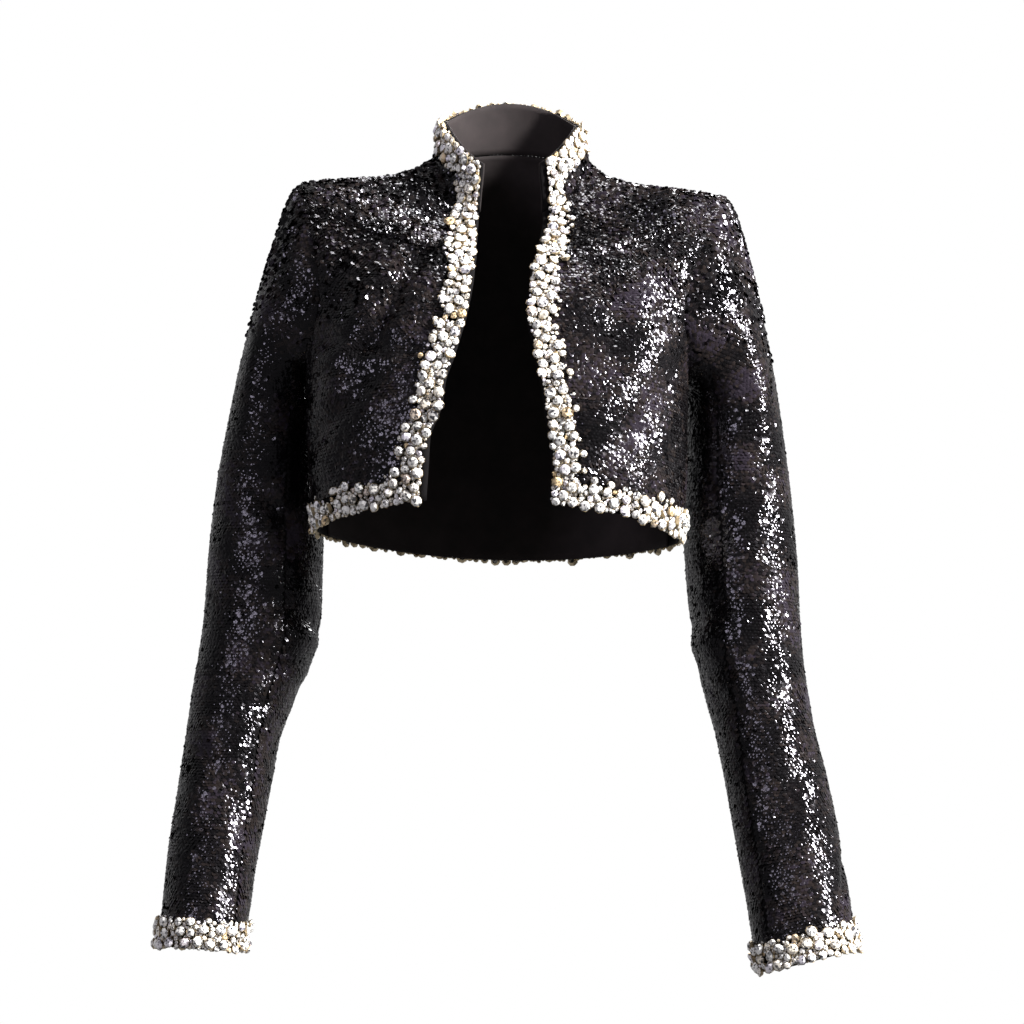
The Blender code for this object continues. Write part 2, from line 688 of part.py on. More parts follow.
def solid_material(name):
    """Plain material of a group of pieces."""
    colour, roughness, metallic = MATERIALS[name]
    material = bpy.data.materials.get(name) or bpy.data.materials.new(name)
    material.use_nodes = True
    shader = material.node_tree.nodes["Principled BSDF"]
    shader.inputs["Base Color"].default_value = colour
    shader.inputs["Roughness"].default_value = roughness
    shader.inputs["Metallic"].default_value = metallic
    return material


def add_solid(name, outer, inner, material, keep=None, ring=False, outward=True):
    """Closed wall between two grids of points, over the cells marked in keep; ring closes the columns."""
    rows, columns = outer.shape[:2]
    across = columns if ring else columns - 1
    if keep is None:
        keep = np.ones((rows - 1, across), dtype=bool)
    index = {}
    points = []

    def corner(layer, row, column):
        key = (layer, row, column % columns)
        if key not in index:
            index[key] = len(points)
            points.append(tuple((outer if layer == 0 else inner)[row, column % columns]))
        return index[key]

    faces = []

    def add_face(corners):
        faces.append(corners if outward else corners[::-1])

    def kept(row, column):
        if ring:
            column %= across
        return 0 <= row < rows - 1 and 0 <= column < across and keep[row, column]

    for row in range(rows - 1):
        for column in range(across):
            if not keep[row, column]:
                continue
            low_left, low_right = (row, column), (row, column + 1)
            top_left, top_right = (row + 1, column), (row + 1, column + 1)
            for layer in (0, 1):
                corners = [corner(layer, *place) for place in (low_left, low_right, top_right, top_left)]
                for triangle in ((0, 1, 2), (0, 2, 3)):
                    face = tuple(corners[i] for i in triangle)
                    add_face(face if layer == 0 else face[::-1])
            borders = (
                (kept(row - 1, column), low_right, low_left),
                (kept(row + 1, column), top_left, top_right),
                (kept(row, column - 1), low_left, top_left),
                (kept(row, column + 1), top_right, low_right),
            )
            for covered, first, second in borders:
                if covered:
                    continue
                rim = (corner(0, *first), corner(0, *second), corner(1, *second), corner(1, *first))
                add_face(rim[:3])
                add_face((rim[0], rim[2], rim[3]))

    mesh = bpy.data.meshes.new(name)
    mesh.from_pydata(points, [], faces)
    mesh.materials.append(solid_material(material))
    mesh.shade_smooth()
    mesh.set_sharp_from_angle(angle=SHARP_ANGLE)
    solid = bpy.data.objects.new(name, mesh)
    bpy.context.scene.collection.objects.link(solid)
    return solid


def add_cloth(name, points, normals, outward, start=0.0, thickness=CLOTH, material="sequinned_cloth"):
    """Cloth wall whose outer face lies a little under the given points."""
    return add_solid(name, points - normals * start, points - normals * (start + thickness), material,
                     outward=outward)


def between(grid, rows, columns):
    """Points on a grid's own flat faces, at places counted in cells."""
    low_row = np.minimum(rows.astype(int), grid.shape[0] - 2)
    low_column = np.minimum(columns.astype(int), grid.shape[1] - 2)
    up = (rows - low_row)[:, None, None]
    across = (columns - low_column)[None, :, None]
    a = grid[np.ix_(low_row, low_column)]
    b = grid[np.ix_(low_row, low_column + 1)]
    c = grid[np.ix_(low_row + 1, low_column + 1)]
    d = grid[np.ix_(low_row + 1, low_column)]
    below = a + across * (b - a) + up * (c - b)
    above = a + up * (d - a) + across * (c - d)
    return np.where(across >= up, below, above)


def split_cells(lengths):
    """Places, counted in cells, that cut each cell into even parts about one bead apart."""
    places = [0.0]
    for cell, length in enumerate(lengths):
        parts = max(1, round(length / BEAD_PITCH))
        places += [cell + (part + 1) / parts for part in range(parts)]
    return np.array(places)


def bead_heights(rows, columns, edge):
    """Thickness of the band at each point: every other one is a bead, uneven in size; the edges are low."""
    row, column = np.meshgrid(np.arange(rows), np.arange(columns), indexing="ij")
    by_row, by_column, spread = BEAD_PATTERN
    uneven = np.abs(np.sin(row * by_row + column * by_column) * spread) % 1
    bead = np.where((row + column) % 2 == 0, BEAD_LEAST + (1 - BEAD_LEAST) * uneven, BED_UNEVEN * uneven)
    return BAND_BED + BEAD_RISE * np.where(edge, 0.0, bead)


def add_band(name, points, normals, row_places, column_places, outward, covers=None, ring=False):
    """Beaded band lying on a panel's own points, over the cells that it covers."""
    face = between(points, row_places, column_places)
    out = unit(between(normals, row_places, column_places))
    rows, columns = face.shape[:2]
    keep = np.ones((rows - 1, columns - 1), dtype=bool)
    if covers is not None:
        middle_row = (row_places[:-1] + row_places[1:]) / 2
        middle_column = (column_places[:-1] + column_places[1:]) / 2
        keep = covers(middle_row[:, None], middle_column[None, :])
    padded = np.pad(keep, 1)
    if ring:
        padded[:, 0] = padded[:, -2]
        padded[:, -1] = padded[:, 1]
    edge = ~(padded[:-1, :-1] & padded[1:, :-1] & padded[:-1, 1:] & padded[1:, 1:])
    thick = bead_heights(rows, columns, edge)[..., None]
    outer = face + out * (SEAM_GAP + thick)
    inner = face + out * SEAM_GAP
    if ring:
        outer, inner = outer[:, :-1], inner[:, :-1]
    return add_solid(name, outer, inner, "crystal_band", keep=keep, ring=ring, outward=outward)


def cell_sizes(points, axis, at):
    """Lengths of the cells along one side of a grid."""
    steps = np.linalg.norm(np.diff(points, axis=axis), axis=-1)
    return steps[:, at] if axis == 0 else steps[at]


def front_band(side, points, normals):
    """Band down a front's edge and along its hem, in one piece round the corner."""
    def covers(row, column):
        return (row < BAND_CELLS) | (column < BAND_CELLS)
    rows = split_cells(cell_sizes(points, 0, 1))
    columns = split_cells(cell_sizes(points, 1, 1))
    add_band("trim_front_" + side, points, normals, rows, columns, outward=side == "left", covers=covers)


def back_band(points, normals):
    """Band along the back's hem."""
    rows = split_cells(cell_sizes(points[:BAND_CELLS + 1], 0, 0))
    columns = split_cells(cell_sizes(points, 1, 1))
    add_band("trim_back", points, normals, rows, columns, outward=True)


def collar_band(points, normals):
    """Band up both ends of the collar and along its top edge."""
    last = points.shape[1] - 1
    top = points.shape[0] - 2
    rows = split_cells(cell_sizes(points, 0, 1))
    columns = split_cells(cell_sizes(points, 1, -1))

    def covers(row, column):
        return (row > top) | (column < BAND_CELLS) | (column > last - BAND_CELLS)
    add_band("trim_collar", points, normals, rows, columns, outward=True, covers=covers)


def cuff_band(side, points, normals):
    """Closed band round a cuff, over both pieces of the sleeve."""
    points, normals = points[-BAND_CELLS - 1:], normals[-BAND_CELLS - 1:]
    rows = split_cells(cell_sizes(points, 0, 0))
    cells = points.shape[1] - 1
    columns = np.linspace(0, cells, CUFF_BEADS_PER_CELL * cells + 1)
    add_band("trim_cuff_" + side, points, normals, rows, columns, outward=side == "right", ring=True)


def add_torso():
    """Fronts, back, collar, their bands and the linings that show."""
    left, right, back = front_panel("left"), front_panel("right"), back_panel()
    collar = collar_panel(left, back, right)
    for side, (_, points, normals) in (("left", left), ("right", right)):
        add_cloth("front_" + side, points, normals, outward=side == "left")
        front_band(side, points, normals)
    add_cloth("back", back[1], back[2], outward=True)
    back_band(back[1], back[2])
    add_cloth("collar", collar[1], collar[2], outward=True)
    collar_band(collar[1], collar[2])
    under = CLOTH + SEAM_GAP
    add_cloth("lining_back", back[1], back[2], True, under, LINING, "lining_cloth")
    add_cloth("lining_collar", collar[1], collar[2], True, under, LINING, "lining_cloth")


def add_sleeve(side):
    """Upper and under piece of a sleeve, and the band round its cuff."""
    points, normals = sleeve_grid(side)
    count = points.shape[1] - 1
    outward = side == "right"
    upper = slice(FRONT_SEAM_STEP, count - BACK_SEAM_STEP + 1)
    around = np.arange(-BACK_SEAM_STEP, FRONT_SEAM_STEP + 1) % count
    for name, columns in (("upper", upper), ("under", around)):
        piece = inset(points[:, columns])
        add_cloth("sleeve_" + side + "_" + name, piece, normals[:, columns], outward)
    cuff_band(side, points, normals)


def clear_scene():
    """Remove every object of the open file."""
    for thing in list(bpy.data.objects):
        bpy.data.objects.remove(thing, do_unlink=True)


def main():
    clear_scene()
    add_torso()
    for side in SIDES:
        add_sleeve(side)


main()
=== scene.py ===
"""Looks of a cropped matador jacket: sequinned cloth, its linings and the faceted stones along its edges.

X runs to the wearer's left, Y to the back and Z up, in metres. The origin lies between the shoulder seams.
"""
import functools
import math

import bpy
import numpy as np
from mathutils import Matrix, Vector


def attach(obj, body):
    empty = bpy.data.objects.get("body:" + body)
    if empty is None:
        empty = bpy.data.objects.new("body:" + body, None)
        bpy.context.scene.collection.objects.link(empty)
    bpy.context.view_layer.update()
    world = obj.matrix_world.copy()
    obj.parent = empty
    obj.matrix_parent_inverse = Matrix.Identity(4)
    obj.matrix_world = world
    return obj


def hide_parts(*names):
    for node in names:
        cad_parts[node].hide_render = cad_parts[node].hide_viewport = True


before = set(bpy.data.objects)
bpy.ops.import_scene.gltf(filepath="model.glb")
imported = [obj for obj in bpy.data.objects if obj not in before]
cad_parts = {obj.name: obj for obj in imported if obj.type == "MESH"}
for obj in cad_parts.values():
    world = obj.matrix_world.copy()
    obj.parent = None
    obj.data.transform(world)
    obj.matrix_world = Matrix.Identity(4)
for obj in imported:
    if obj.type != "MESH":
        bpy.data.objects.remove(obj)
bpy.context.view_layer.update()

# Camera of the photograph: place, pitch up, roll and lens
CAMERA_AT = (0.0100, -3.5000, -0.5855)
CAMERA_PITCH = math.radians(4.73)
CAMERA_ROLL = math.radians(1.7)
CAMERA_LENS = 141.92
CAMERA_SENSOR = 36.0
CAMERA_FAR = 100

# Cloth under the sequins and the linings: thickness and depth under the outer face; width of the stone bands
CLOTH_THICK = 0.0014
CLOTH_UNDER = 0.0004
LINING_UNDER = 0.0026
LINING_THICK = 0.0010
BAND_WIDTH = 0.024

# Sequins: size, pitch between strings and along a string, lift, tilt like roof tiles, how uneven they lie,
# and the share that lies more unevenly
SEQUIN = 0.0043
STRING_PITCH = 0.0034
SEQUIN_PITCH = 0.0027
SEQUIN_SIDES = 8
SEQUIN_LIFT = 0.0006
SEQUIN_TILT = math.radians(11)
SEQUIN_LOOSE = math.radians(4.5)
ODD_SHARE = 0.12
ODD_LOOSE = math.radians(15)

# Sequins that stand up: none below the first height, a share of them above the second, and how far they lean
RAISED_FROM = -0.160
RAISED_TO = -0.050
RAISED_SHARE = 0.42
RAISED_LEAN = math.radians(56)
RAISED_RANGE = (0.5, 1.2)

# Patches of sequins that tilt together: how far, the patches' size and the waves that they are made of
PATCH_TILT = math.radians(6.5)
PATCH_SIZE = 0.025
PATCH_WAVES = 14
PATCH_RANGE = (0.5, 1.3)

# Shares of a sequin's rise that lift it off the cloth, tiled and raised, and how uneven the lift is; how far
# it strays from its string; its dish, dome and hole
TILED_LIFT = 0.6
RAISED_LIFT = 0.5
LIFT_RANGE = (0.85, 1.15)
STRING_STRAY = 0.06
SEQUIN_DISH = 0.00010
DOME_SHARE = 0.65
DOME_LOW = 0.0002
DOME_HIGH = 0.0009
SEQUIN_HOLE = 0.22

# Size of the patches of one colour and how uneven it is from sequin to sequin
TONE_SIZE = 0.05
TONE_SPREAD = 0.2

# Where rows crowd, only one in two, four and so on is kept: how late that starts, how far it goes and the
# least gap between rows
THIN_LATE = 0.2
THIN_MOST = 4
LEAST_GAP = 1e-5

# Stones in the order that they are set; sides, tilt, how sizes and lifts vary
STONE_COLUMNS = "radius tries_per_cm2 lift overlap"
STONE_ROWS = (
    (0.0047, 2.5, 0.0046, 0.96),
    (0.0040, 8.0, 0.0042, 0.94),
    (0.0031, 16.0, 0.0036, 0.90),
    (0.0024, 40.0, 0.0028, 0.84),
    (0.0018, 80.0, 0.0020, 0.76),
    (0.0014, 90.0, 0.0014, 0.72),
)
STONE_SIDES = 8
STONE_TILT = math.radians(14)
STONE_SPREAD = (0.92, 1.06)
STONE_LIFTS = (0.8, 1.25)
CM2_PER_M2 = 1e4

# Rings of a stone's table, girdle and foot and of its cup, in shares of its radius: radius, height and turn;
# and the height of its middle
STONE_TOP = 0.44
STONE_CUT = ((0.56, 0.42, 0.0), (1.0, 0.04, math.pi / 8), (0.90, -0.26, math.pi / 8))
CUP_RINGS = ((1.15, -0.04, math.pi / 8), (0.66, -0.80, math.pi / 8))

# How far stones keep inside the band's edge, how much and how often that wavers, and those that stray out
STONE_INSET = 0.0024
INSET_WAVER = 1.4
INSET_SIZE = 0.016
STRAY_SHARE = 0.05
STRAY_REACH = 0.0040

# How far the stones' middles keep from each front edge, at a height
GAP_COLUMNS = "z right left"
GAP_ROWS = (
    (-0.300, 0.0064, 0.0022),
    (-0.272, 0.0062, 0.0022),
    (-0.248, 0.0036, 0.0022),
    (-0.225, 0.0022, 0.0022),
    (-0.078, 0.0022, 0.0022),
    (-0.060, 0.0022, 0.0058),
    (-0.040, 0.0022, 0.0070),
    (0.015, 0.0022, 0.0070),
)

# Places tried in each band, the share of them whose density counts as full, and how far sequins go
# under stones
CANDIDATES = 60000
CANDIDATE_TOP = 0.98
SEQUINS_UNDER_STONES = 0.003

# Line along the grain of each front, how far sequins keep from a seam, the sleeves' seams, the arm's
# length, and the share of the collar's height at which its band starts
GRAIN_LINE = 0.085
STRING_MARGIN = 0.0016
SLEEVE_SEAM = math.radians(50)
ARM_LENGTH = 0.452
COLLAR_BAND_FROM = 0.4
COLLAR_HEIGHT = 0.045

# Columns of each piece's grid, and points up its stretches
FRONT_GRID = 44
BACK_GRID = 76
COLLAR_GRID = 60
SLEEVE_GRIDS = {"upper": 40, "under": 20}
CUFF_GRID = 48
BAND_STEPS = 5
BODY_STEPS = 19
ARMHOLE_STEPS = 34
SHOULDER_STEPS = 20
COLLAR_STEPS = 9
HEAD_STEPS = 41
ARM_STEPS = 75

# Seeds of the random draws: the first, and how far apart those of two pieces lie
FIRST_SEED = 10
SEED_STEP = 20

# Pieces whose lining shows
LININGS = ("back", "collar")

# Colours along ramps
HOLE_COLOUR = (0.002, 0.002, 0.002, 1)
SEQUIN_COLOURS = (
    (0.0, (0.0020, 0.0018, 0.0020)),
    (0.5, (0.0045, 0.0038, 0.0042)),
    (0.8, (0.0150, 0.0110, 0.0095)),
    (1.0, (0.0180, 0.0140, 0.0200)),
)
STONE_COLOURS = (
    (0.0, (0.95, 0.94, 0.91)),
    (0.50, (0.95, 0.93, 0.89)),
    (0.62, (0.94, 0.86, 0.72)),
    (0.78, (0.96, 0.94, 0.91)),
    (0.93, (0.90, 0.86, 0.96)),
    (0.975, (0.82, 0.62, 0.36)),
)
# Painted reflections of the stones: each of their facets gets a random tone, from dark to white, that stands
# in for the light it reflects
PAINTED_FACET_REFLECTIONS = (
    (0.0, (0.07, 0.07, 0.08)),
    (0.14, (0.34, 0.34, 0.35)),
    (0.30, (0.74, 0.74, 0.74)),
    (0.45, (1.0, 1.0, 1.0)),
)
SETTING_COLOURS = ((0.3, (0.30, 0.23, 0.14)), (0.7, (0.70, 0.58, 0.38)))
CLOTH_COLOURS = ((0.3, (0.0035, 0.0030, 0.0034)), (0.7, (0.0070, 0.0060, 0.0066)))
LINING_COLOURS = ((0.3, (0.021, 0.017, 0.017)), (0.7, (0.030, 0.024, 0.024)))

# Plain values of the materials, by socket
SEQUIN_ROUGHNESS = {"To Min": 0.12, "To Max": 0.22}
SEQUIN_SHADER = {"IOR": 1.45, "Specular IOR Level": 0.35, "Specular Tint": (0.93, 0.90, 1.0, 1)}
STONE_SHADER = {"Metallic": 0.04, "Roughness": 0.05, "IOR": 1.7, "Coat Weight": 0.4, "Coat Roughness": 0.03}
SETTING_SHADER = {"Metallic": 0.55, "Roughness": 0.36}
GROUND_SHADER = {"Roughness": 0.9, "Specular IOR Level": 0.12, "Sheen Weight": 0.0, "Sheen Roughness": 0.4}
LINING_SHADER = {"Roughness": 0.72, "Specular IOR Level": 0.12, "Sheen Weight": 0.04, "Sheen Roughness": 0.4}

# Unevenness of the settings' colour and relief and of the cloths' colour; a thread's pitch, the weave's
# scale for a pitch and its distortion; strength and depth of the relief
SETTING_SPECKS = 260
SETTING_RELIEF = 900
CLOTH_CLOUDS = 55
NOISE_DETAIL = 3.0
GROUND_THREAD = 0.0007
LINING_THREAD = 0.0004
WEAVE_SCALE = 0.31
WEAVE_WAVER = 0.6
SETTING_BUMP = 0.3
WEAVE_BUMP = 0.35
BUMP_DEPTH = 0.0003

# How far directions lean to the back while the light of the surroundings changes, and that light ahead and
# behind; lights: name, place, aim, width and height, power, colour
WORLD_TURN = {"From Min": -0.25, "From Max": 0.6, "To Min": 0.185, "To Max": 0.45}
LIGHTS = (
    ("key", (2.08, -1.02, 1.08), (0.1, 0, -0.3), (0.28, 1.0), 325, (1.0, 0.99, 0.98)),
    ("side", (-1.4, -2.4, 0.8), (0, 0, -0.3), (0.7, 0.9), 21, (0.90, 0.86, 1.0)),
    ("top", (0.45, 0.25, 2.5), (0, 0, -0.2), (0.9, 0.7), 48, (1.0, 1.0, 1.0)),
    ("back", (0.6, 2.4, 1.2), (0, 0, -0.2), (1.2, 1.0), 70, (1.0, 1.0, 1.0)),
)

# Heights of the torso's landmarks, measured along the cloth from the hem
HEM = 0.0
UNDERARM = 0.135
SHOULDER_TIP = 0.308
NECK = 0.430

# The armhole's width before and behind the side line, in degrees round the torso
ARMHOLE_FRONT = math.radians(36)
ARMHOLE_BACK = math.radians(34)

# Power of the armhole's rounding at its top; it is 1, a plain oval, at the underarm
ARMHOLE_TOP_POWER = 0.75

RING_COLUMNS = ("z_side z_front z_back half_width x_mid y_mid front_depth back_depth "
                "front_power back_power drop side_angle")
TORSO_COLUMNS = "height " + RING_COLUMNS
TORSO_ROWS = (
    # hem
    (HEM, -0.320, -0.296, -0.333, 0.1560, -0.0015, -0.024, 0.100, 0.100, 2.5, 2.1, 2.0, 106),
    # ribs
    (0.055, -0.267, -0.249, -0.274, 0.1620, -0.0030, -0.026, 0.103, 0.109, 2.5, 2.05, 2.0, 107),
    # bust
    (0.110, -0.212, -0.200, -0.214, 0.1640, -0.0060, -0.026, 0.105, 0.114, 2.5, 2.05, 2.0, 107),
    # underarm
    (UNDERARM, -0.187, -0.178, -0.186, 0.1640, -0.0060, -0.022, 0.103, 0.112, 2.6, 2.15, 2.0, 106),
    # chest
    (0.195, -0.127, -0.130, -0.120, 0.1680, -0.0040, -0.014, 0.096, 0.105, 2.8, 2.8, 1.8, 100),
    # shoulder blades
    (0.255, -0.066, -0.099, -0.070, 0.1850, -0.0020, -0.004, 0.091, 0.090, 2.6, 2.8, 1.5, 94),
    (0.288, -0.034, -0.086, -0.048, 0.1885, -0.0010, 0.002, 0.087, 0.080, 2.5, 2.6, 1.4, 91),
    # ring through the shoulder tips
    (SHOULDER_TIP, -0.014, -0.079, -0.034, 0.1815, -0.0010, 0.004, 0.083, 0.072, 2.4, 2.4, 1.4, 90),
    # shoulder slope
    (0.322, -0.0115, -0.075, -0.026, 0.1690, -0.0010, 0.004, 0.081, 0.070, 2.4, 2.4, 1.4, 90),
    (0.345, -0.009, -0.070, -0.016, 0.1480, -0.0010, 0.005, 0.077, 0.067, 2.4, 2.4, 1.4, 90),
    (0.385, -0.005, -0.060, 0.005, 0.1100, -0.0010, 0.006, 0.069, 0.061, 2.3, 2.3, 1.3, 90),
    (0.412, 0.002, -0.053, 0.018, 0.0840, -0.0010, 0.006, 0.064, 0.057, 2.2, 2.2, 1.4, 90),
    # neck seam
    (NECK, 0.013, -0.048, 0.028, 0.0670, 0.0000, 0.006, 0.061, 0.053, 2.1, 2.1, 1.5, 90),
)

COLLAR_COLUMNS = "rise " + RING_COLUMNS
COLLAR_ROWS = (
    (0.0, 0.013, -0.048, 0.028, 0.0670, 0.0000, 0.006, 0.061, 0.053, 2.1, 2.1, 1.5, 90),
    (0.5, 0.030, -0.028, 0.051, 0.0625, 0.0000, 0.005, 0.063, 0.051, 2.1, 2.1, 1.6, 90),
    (1.0, 0.047, -0.006, 0.073, 0.0600, -0.0010, 0.004, 0.064, 0.051, 2.1, 2.1, 1.7, 90),
)

# Where each front edge runs, as x at a height z; the search for its angle starts at a guess and is repeated
EDGE_COLUMNS = "z right_x left_x"
EDGE_ROWS = (
    (-0.300, -0.0625, 0.0400),
    (-0.272, -0.0615, 0.0420),
    (-0.247, -0.0605, 0.0400),
    (-0.222, -0.0525, 0.0345),
    (-0.198, -0.0485, 0.0300),
    (-0.168, -0.0405, 0.0240),
    (-0.135, -0.0330, 0.0180),
    (-0.100, -0.0280, 0.0195),
    (-0.070, -0.0270, 0.0265),
    (-0.035, -0.0260, 0.0290),
    (-0.004, -0.0240, 0.0260),
)

EDGE_GUESS = 0.3
EDGE_SEARCHES = 8

# Level cuts through each sleeve: the far and near sides from the body's middle, the middle's y, the depth
# from front to back, the turn of the cut and how much its outer side rises
SLEEVE_COLUMNS = "z outer_x inner_x y_mid depth turn slope"
SLEEVE_ROWS = {
    "right": (
        (-0.680, 0.2803, 0.2095, -0.024, 0.085, -6, 0.04),
        (-0.605, 0.2770, 0.2020, -0.006, 0.088, -3, 0.03),
        (-0.535, 0.2700, 0.1925, 0.010, 0.092, 0, 0.02),
        (-0.500, 0.2665, 0.1880, 0.018, 0.096, 4, 0.01),
        (-0.467, 0.2635, 0.1775, 0.026, 0.101, 8, 0.00),
        (-0.430, 0.2585, 0.1620, 0.032, 0.107, 11, 0.00),
        (-0.393, 0.2545, 0.1565, 0.035, 0.111, 13, 0.00),
        (-0.340, 0.2520, 0.1575, 0.036, 0.114, 14, 0.00),
        (-0.273, 0.2455, 0.1590, 0.037, 0.121, 14, 0.00),
        (-0.225, 0.2370, 0.1600, 0.036, 0.130, 14, 0.00),
    ),
    "left": (
        (-0.675, 0.3146, 0.2330, -0.031, 0.080, -6, 0.28),
        (-0.600, 0.3035, 0.2190, -0.010, 0.086, -3, 0.22),
        (-0.523, 0.2890, 0.2035, 0.010, 0.092, 0, 0.10),
        (-0.488, 0.2800, 0.1960, 0.018, 0.096, 4, 0.05),
        (-0.453, 0.2725, 0.1860, 0.026, 0.101, 8, 0.02),
        (-0.418, 0.2665, 0.1745, 0.032, 0.107, 11, 0.00),
        (-0.383, 0.2625, 0.1710, 0.035, 0.111, 13, 0.00),
        (-0.331, 0.2585, 0.1660, 0.036, 0.114, 14, 0.00),
        (-0.273, 0.2510, 0.1610, 0.037, 0.121, 14, 0.00),
        (-0.225, 0.2425, 0.1600, 0.036, 0.130, 14, 0.00),
    ),
}
SLEEVE_POWER = 2.2

# Stretch of cloth up and down over which the torso's rings are blended, widest in the middle of the front
# and the back; the steps within it and their weights
BLEND_REACH = 0.034
BLEND_POWER = 0.7
BLEND_COLUMNS = "step weight"
BLEND_ROWS = (
    (-1.0, 0.12), (-0.66, 0.16), (-0.33, 0.20), (0.0, 0.04), (0.33, 0.20), (0.66, 0.16), (1.0, 0.12),
)

# Sleeve head: how far the cloth runs level out of the armhole at the shoulder tip, half-way down and at the
# underarm, and how steeply that start rises
HEAD_COLUMNS = "side start_tip start_notch start_underarm lift_tip lift_underarm"
HEAD_ROWS = (
    ("right", 0.015, 0.022, 0.012, -0.10, 0.30),
    ("left", 0.023, 0.022, 0.012, 0.68, 0.30),
)

# Powers that keep each rise close to its end of the armhole, the share of the head that runs straight into
# the arm and the length of arm that gives its direction
LIFT_TIP_POWER = 6
LIFT_UNDERARM_POWER = 3
HEAD_RUN = 0.62
HEAD_AHEAD = 0.03

# Largest folds of the torso, as lines seen from the front or the back: ends, half width and height (troughs
# below 0)
FOLD_COLUMNS = "x0 z0 x1 z1 half_width height"
FRONT_FOLDS = (
    # wearer's right: from the collar down, across the bust, and drawn from the armpit
    (-0.056, -0.035, -0.126, -0.188, 0.011, -0.0048),
    (-0.080, -0.055, -0.146, -0.185, 0.012, 0.0038),
    (-0.050, -0.075, -0.104, -0.178, 0.010, 0.0026),
    (-0.155, -0.158, -0.085, -0.168, 0.010, -0.0050),
    (-0.158, -0.240, -0.104, -0.185, 0.011, -0.0045),
    (-0.150, -0.215, -0.116, -0.176, 0.010, 0.0030),
    (-0.140, -0.060, -0.146, -0.130, 0.013, -0.0030),
    # wearer's left: softer
    (0.150, -0.175, 0.104, -0.245, 0.014, -0.0035),
    (0.132, -0.150, 0.080, -0.225, 0.016, 0.0025),
    (0.078, -0.060, 0.092, -0.140, 0.015, -0.0030),
    (0.128, -0.060, 0.140, -0.140, 0.013, -0.0025),
    (0.152, -0.262, 0.112, -0.232, 0.012, -0.0030),
    (0.116, -0.205, 0.110, -0.320, 0.020, 0.0030),
    (0.070, -0.215, 0.066, -0.320, 0.018, 0.0018),
)
BACK_FOLDS = (
    (-0.118, -0.090, -0.104, -0.220, 0.015, -0.0035),
    (0.112, -0.080, 0.100, -0.210, 0.015, -0.0035),
    (-0.060, -0.235, -0.030, -0.300, 0.018, 0.0030),
    (0.050, -0.225, 0.062, -0.300, 0.018, 0.0030),
    (-0.090, 0.006, 0.090, 0.006, 0.012, -0.0020),
)

# How fast the folds come up from the side line to the front and the back, and the stretch below the
# shoulder seam over which those of the front fade
FOLD_REACH_FRONT = 3.0
FOLD_REACH_BACK = 2.5
FOLD_FADE_ABOVE_TIP = 0.02
FOLD_FADE = 0.05

# Creases across the sleeves: height, the angle round the sleeve from the underarm forward, half length round
# it, half width up and down, the climb to the front and the height of the fold (troughs below 0)
CREASE_COLUMNS = "z around half_length half_width climb height"
CREASES = {
    "right": (
        (-0.392, 20, 60, 0.011, 0.020, -0.0034),
        (-0.412, 10, 65, 0.011, 0.010, 0.0024),
        (-0.434, 25, 70, 0.012, -0.012, -0.0036),
        (-0.462, 15, 60, 0.012, -0.020, -0.0030),
        (-0.482, 45, 45, 0.012, -0.030, 0.0022),
        (-0.300, 60, 50, 0.014, 0.045, -0.0035),
        (-0.250, 300, 55, 0.013, 0.040, -0.0040),
        (-0.545, 80, 60, 0.016, 0.050, -0.0025),
    ),
    "left": (
        (-0.378, 15, 60, 0.011, 0.020, -0.0030),
        (-0.402, 20, 65, 0.011, 0.014, 0.0020),
        (-0.424, 12, 70, 0.012, -0.010, -0.0034),
        (-0.452, 25, 55, 0.012, -0.025, -0.0028),
        (-0.300, 60, 50, 0.014, 0.045, -0.0030),
        (-0.250, 300, 55, 0.013, 0.040, -0.0040),
        (-0.585, 190, 45, 0.012, 0.045, -0.0045),
        (-0.540, 90, 60, 0.016, 0.050, -0.0025),
    ),
}

SIDES = {"left": 1.0, "right": -1.0}

# Small steps for a surface's slope, for its normals and across a piece's grid, and the least length taken as
# a length
SLOPE_STEP = 1e-4
NORMAL_STEP = 2e-3
COLLAR_STEP = 5e-3
SHARE_STEP = 1e-3
LEAST_LENGTH = 1e-12


class Table:
    """Rows of named columns, read between the rows on a smooth curve that never overshoots them."""

    def __init__(self, columns, rows):
        self.names = columns.split()[1:]
        rows = np.array(rows, dtype=float)
        rows = rows[np.argsort(rows[:, 0])]
        self.knots = rows[:, 0]
        self.values = rows[:, 1:]
        self.steps = np.diff(self.knots)[:, None]
        rises = np.diff(self.values, axis=0) / self.steps
        before, after = rises[:-1], rises[1:]
        same_way = before * after > 0
        near = 2 * self.steps[1:] + self.steps[:-1]
        far = self.steps[1:] + 2 * self.steps[:-1]
        blended = (near + far) / (near / np.where(same_way, before, 1) + far / np.where(same_way, after, 1))
        self.slopes = np.vstack([rises[:1], np.where(same_way, blended, 0), rises[-1:]])

    def at(self, place):
        """Every column's value at the given places, by name."""
        place = np.clip(np.asarray(place, dtype=float), self.knots[0], self.knots[-1])
        index = np.clip(np.searchsorted(self.knots, place, side="right") - 1, 0, len(self.knots) - 2)
        step = self.steps[index, 0]
        t = ((place - self.knots[index]) / step)[..., None]
        step = step[..., None]
        value = ((2 * t**3 - 3 * t**2 + 1) * self.values[index]
                 + (t**3 - 2 * t**2 + t) * step * self.slopes[index]
                 + (3 * t**2 - 2 * t**3) * self.values[index + 1]
                 + (t**3 - t**2) * step * self.slopes[index + 1])
        return {name: value[..., i] for i, name in enumerate(self.names)}


def named(columns, rows):
    """Rows as dictionaries by column name."""
    names = columns.split()
    return [dict(zip(names, row)) for row in rows]


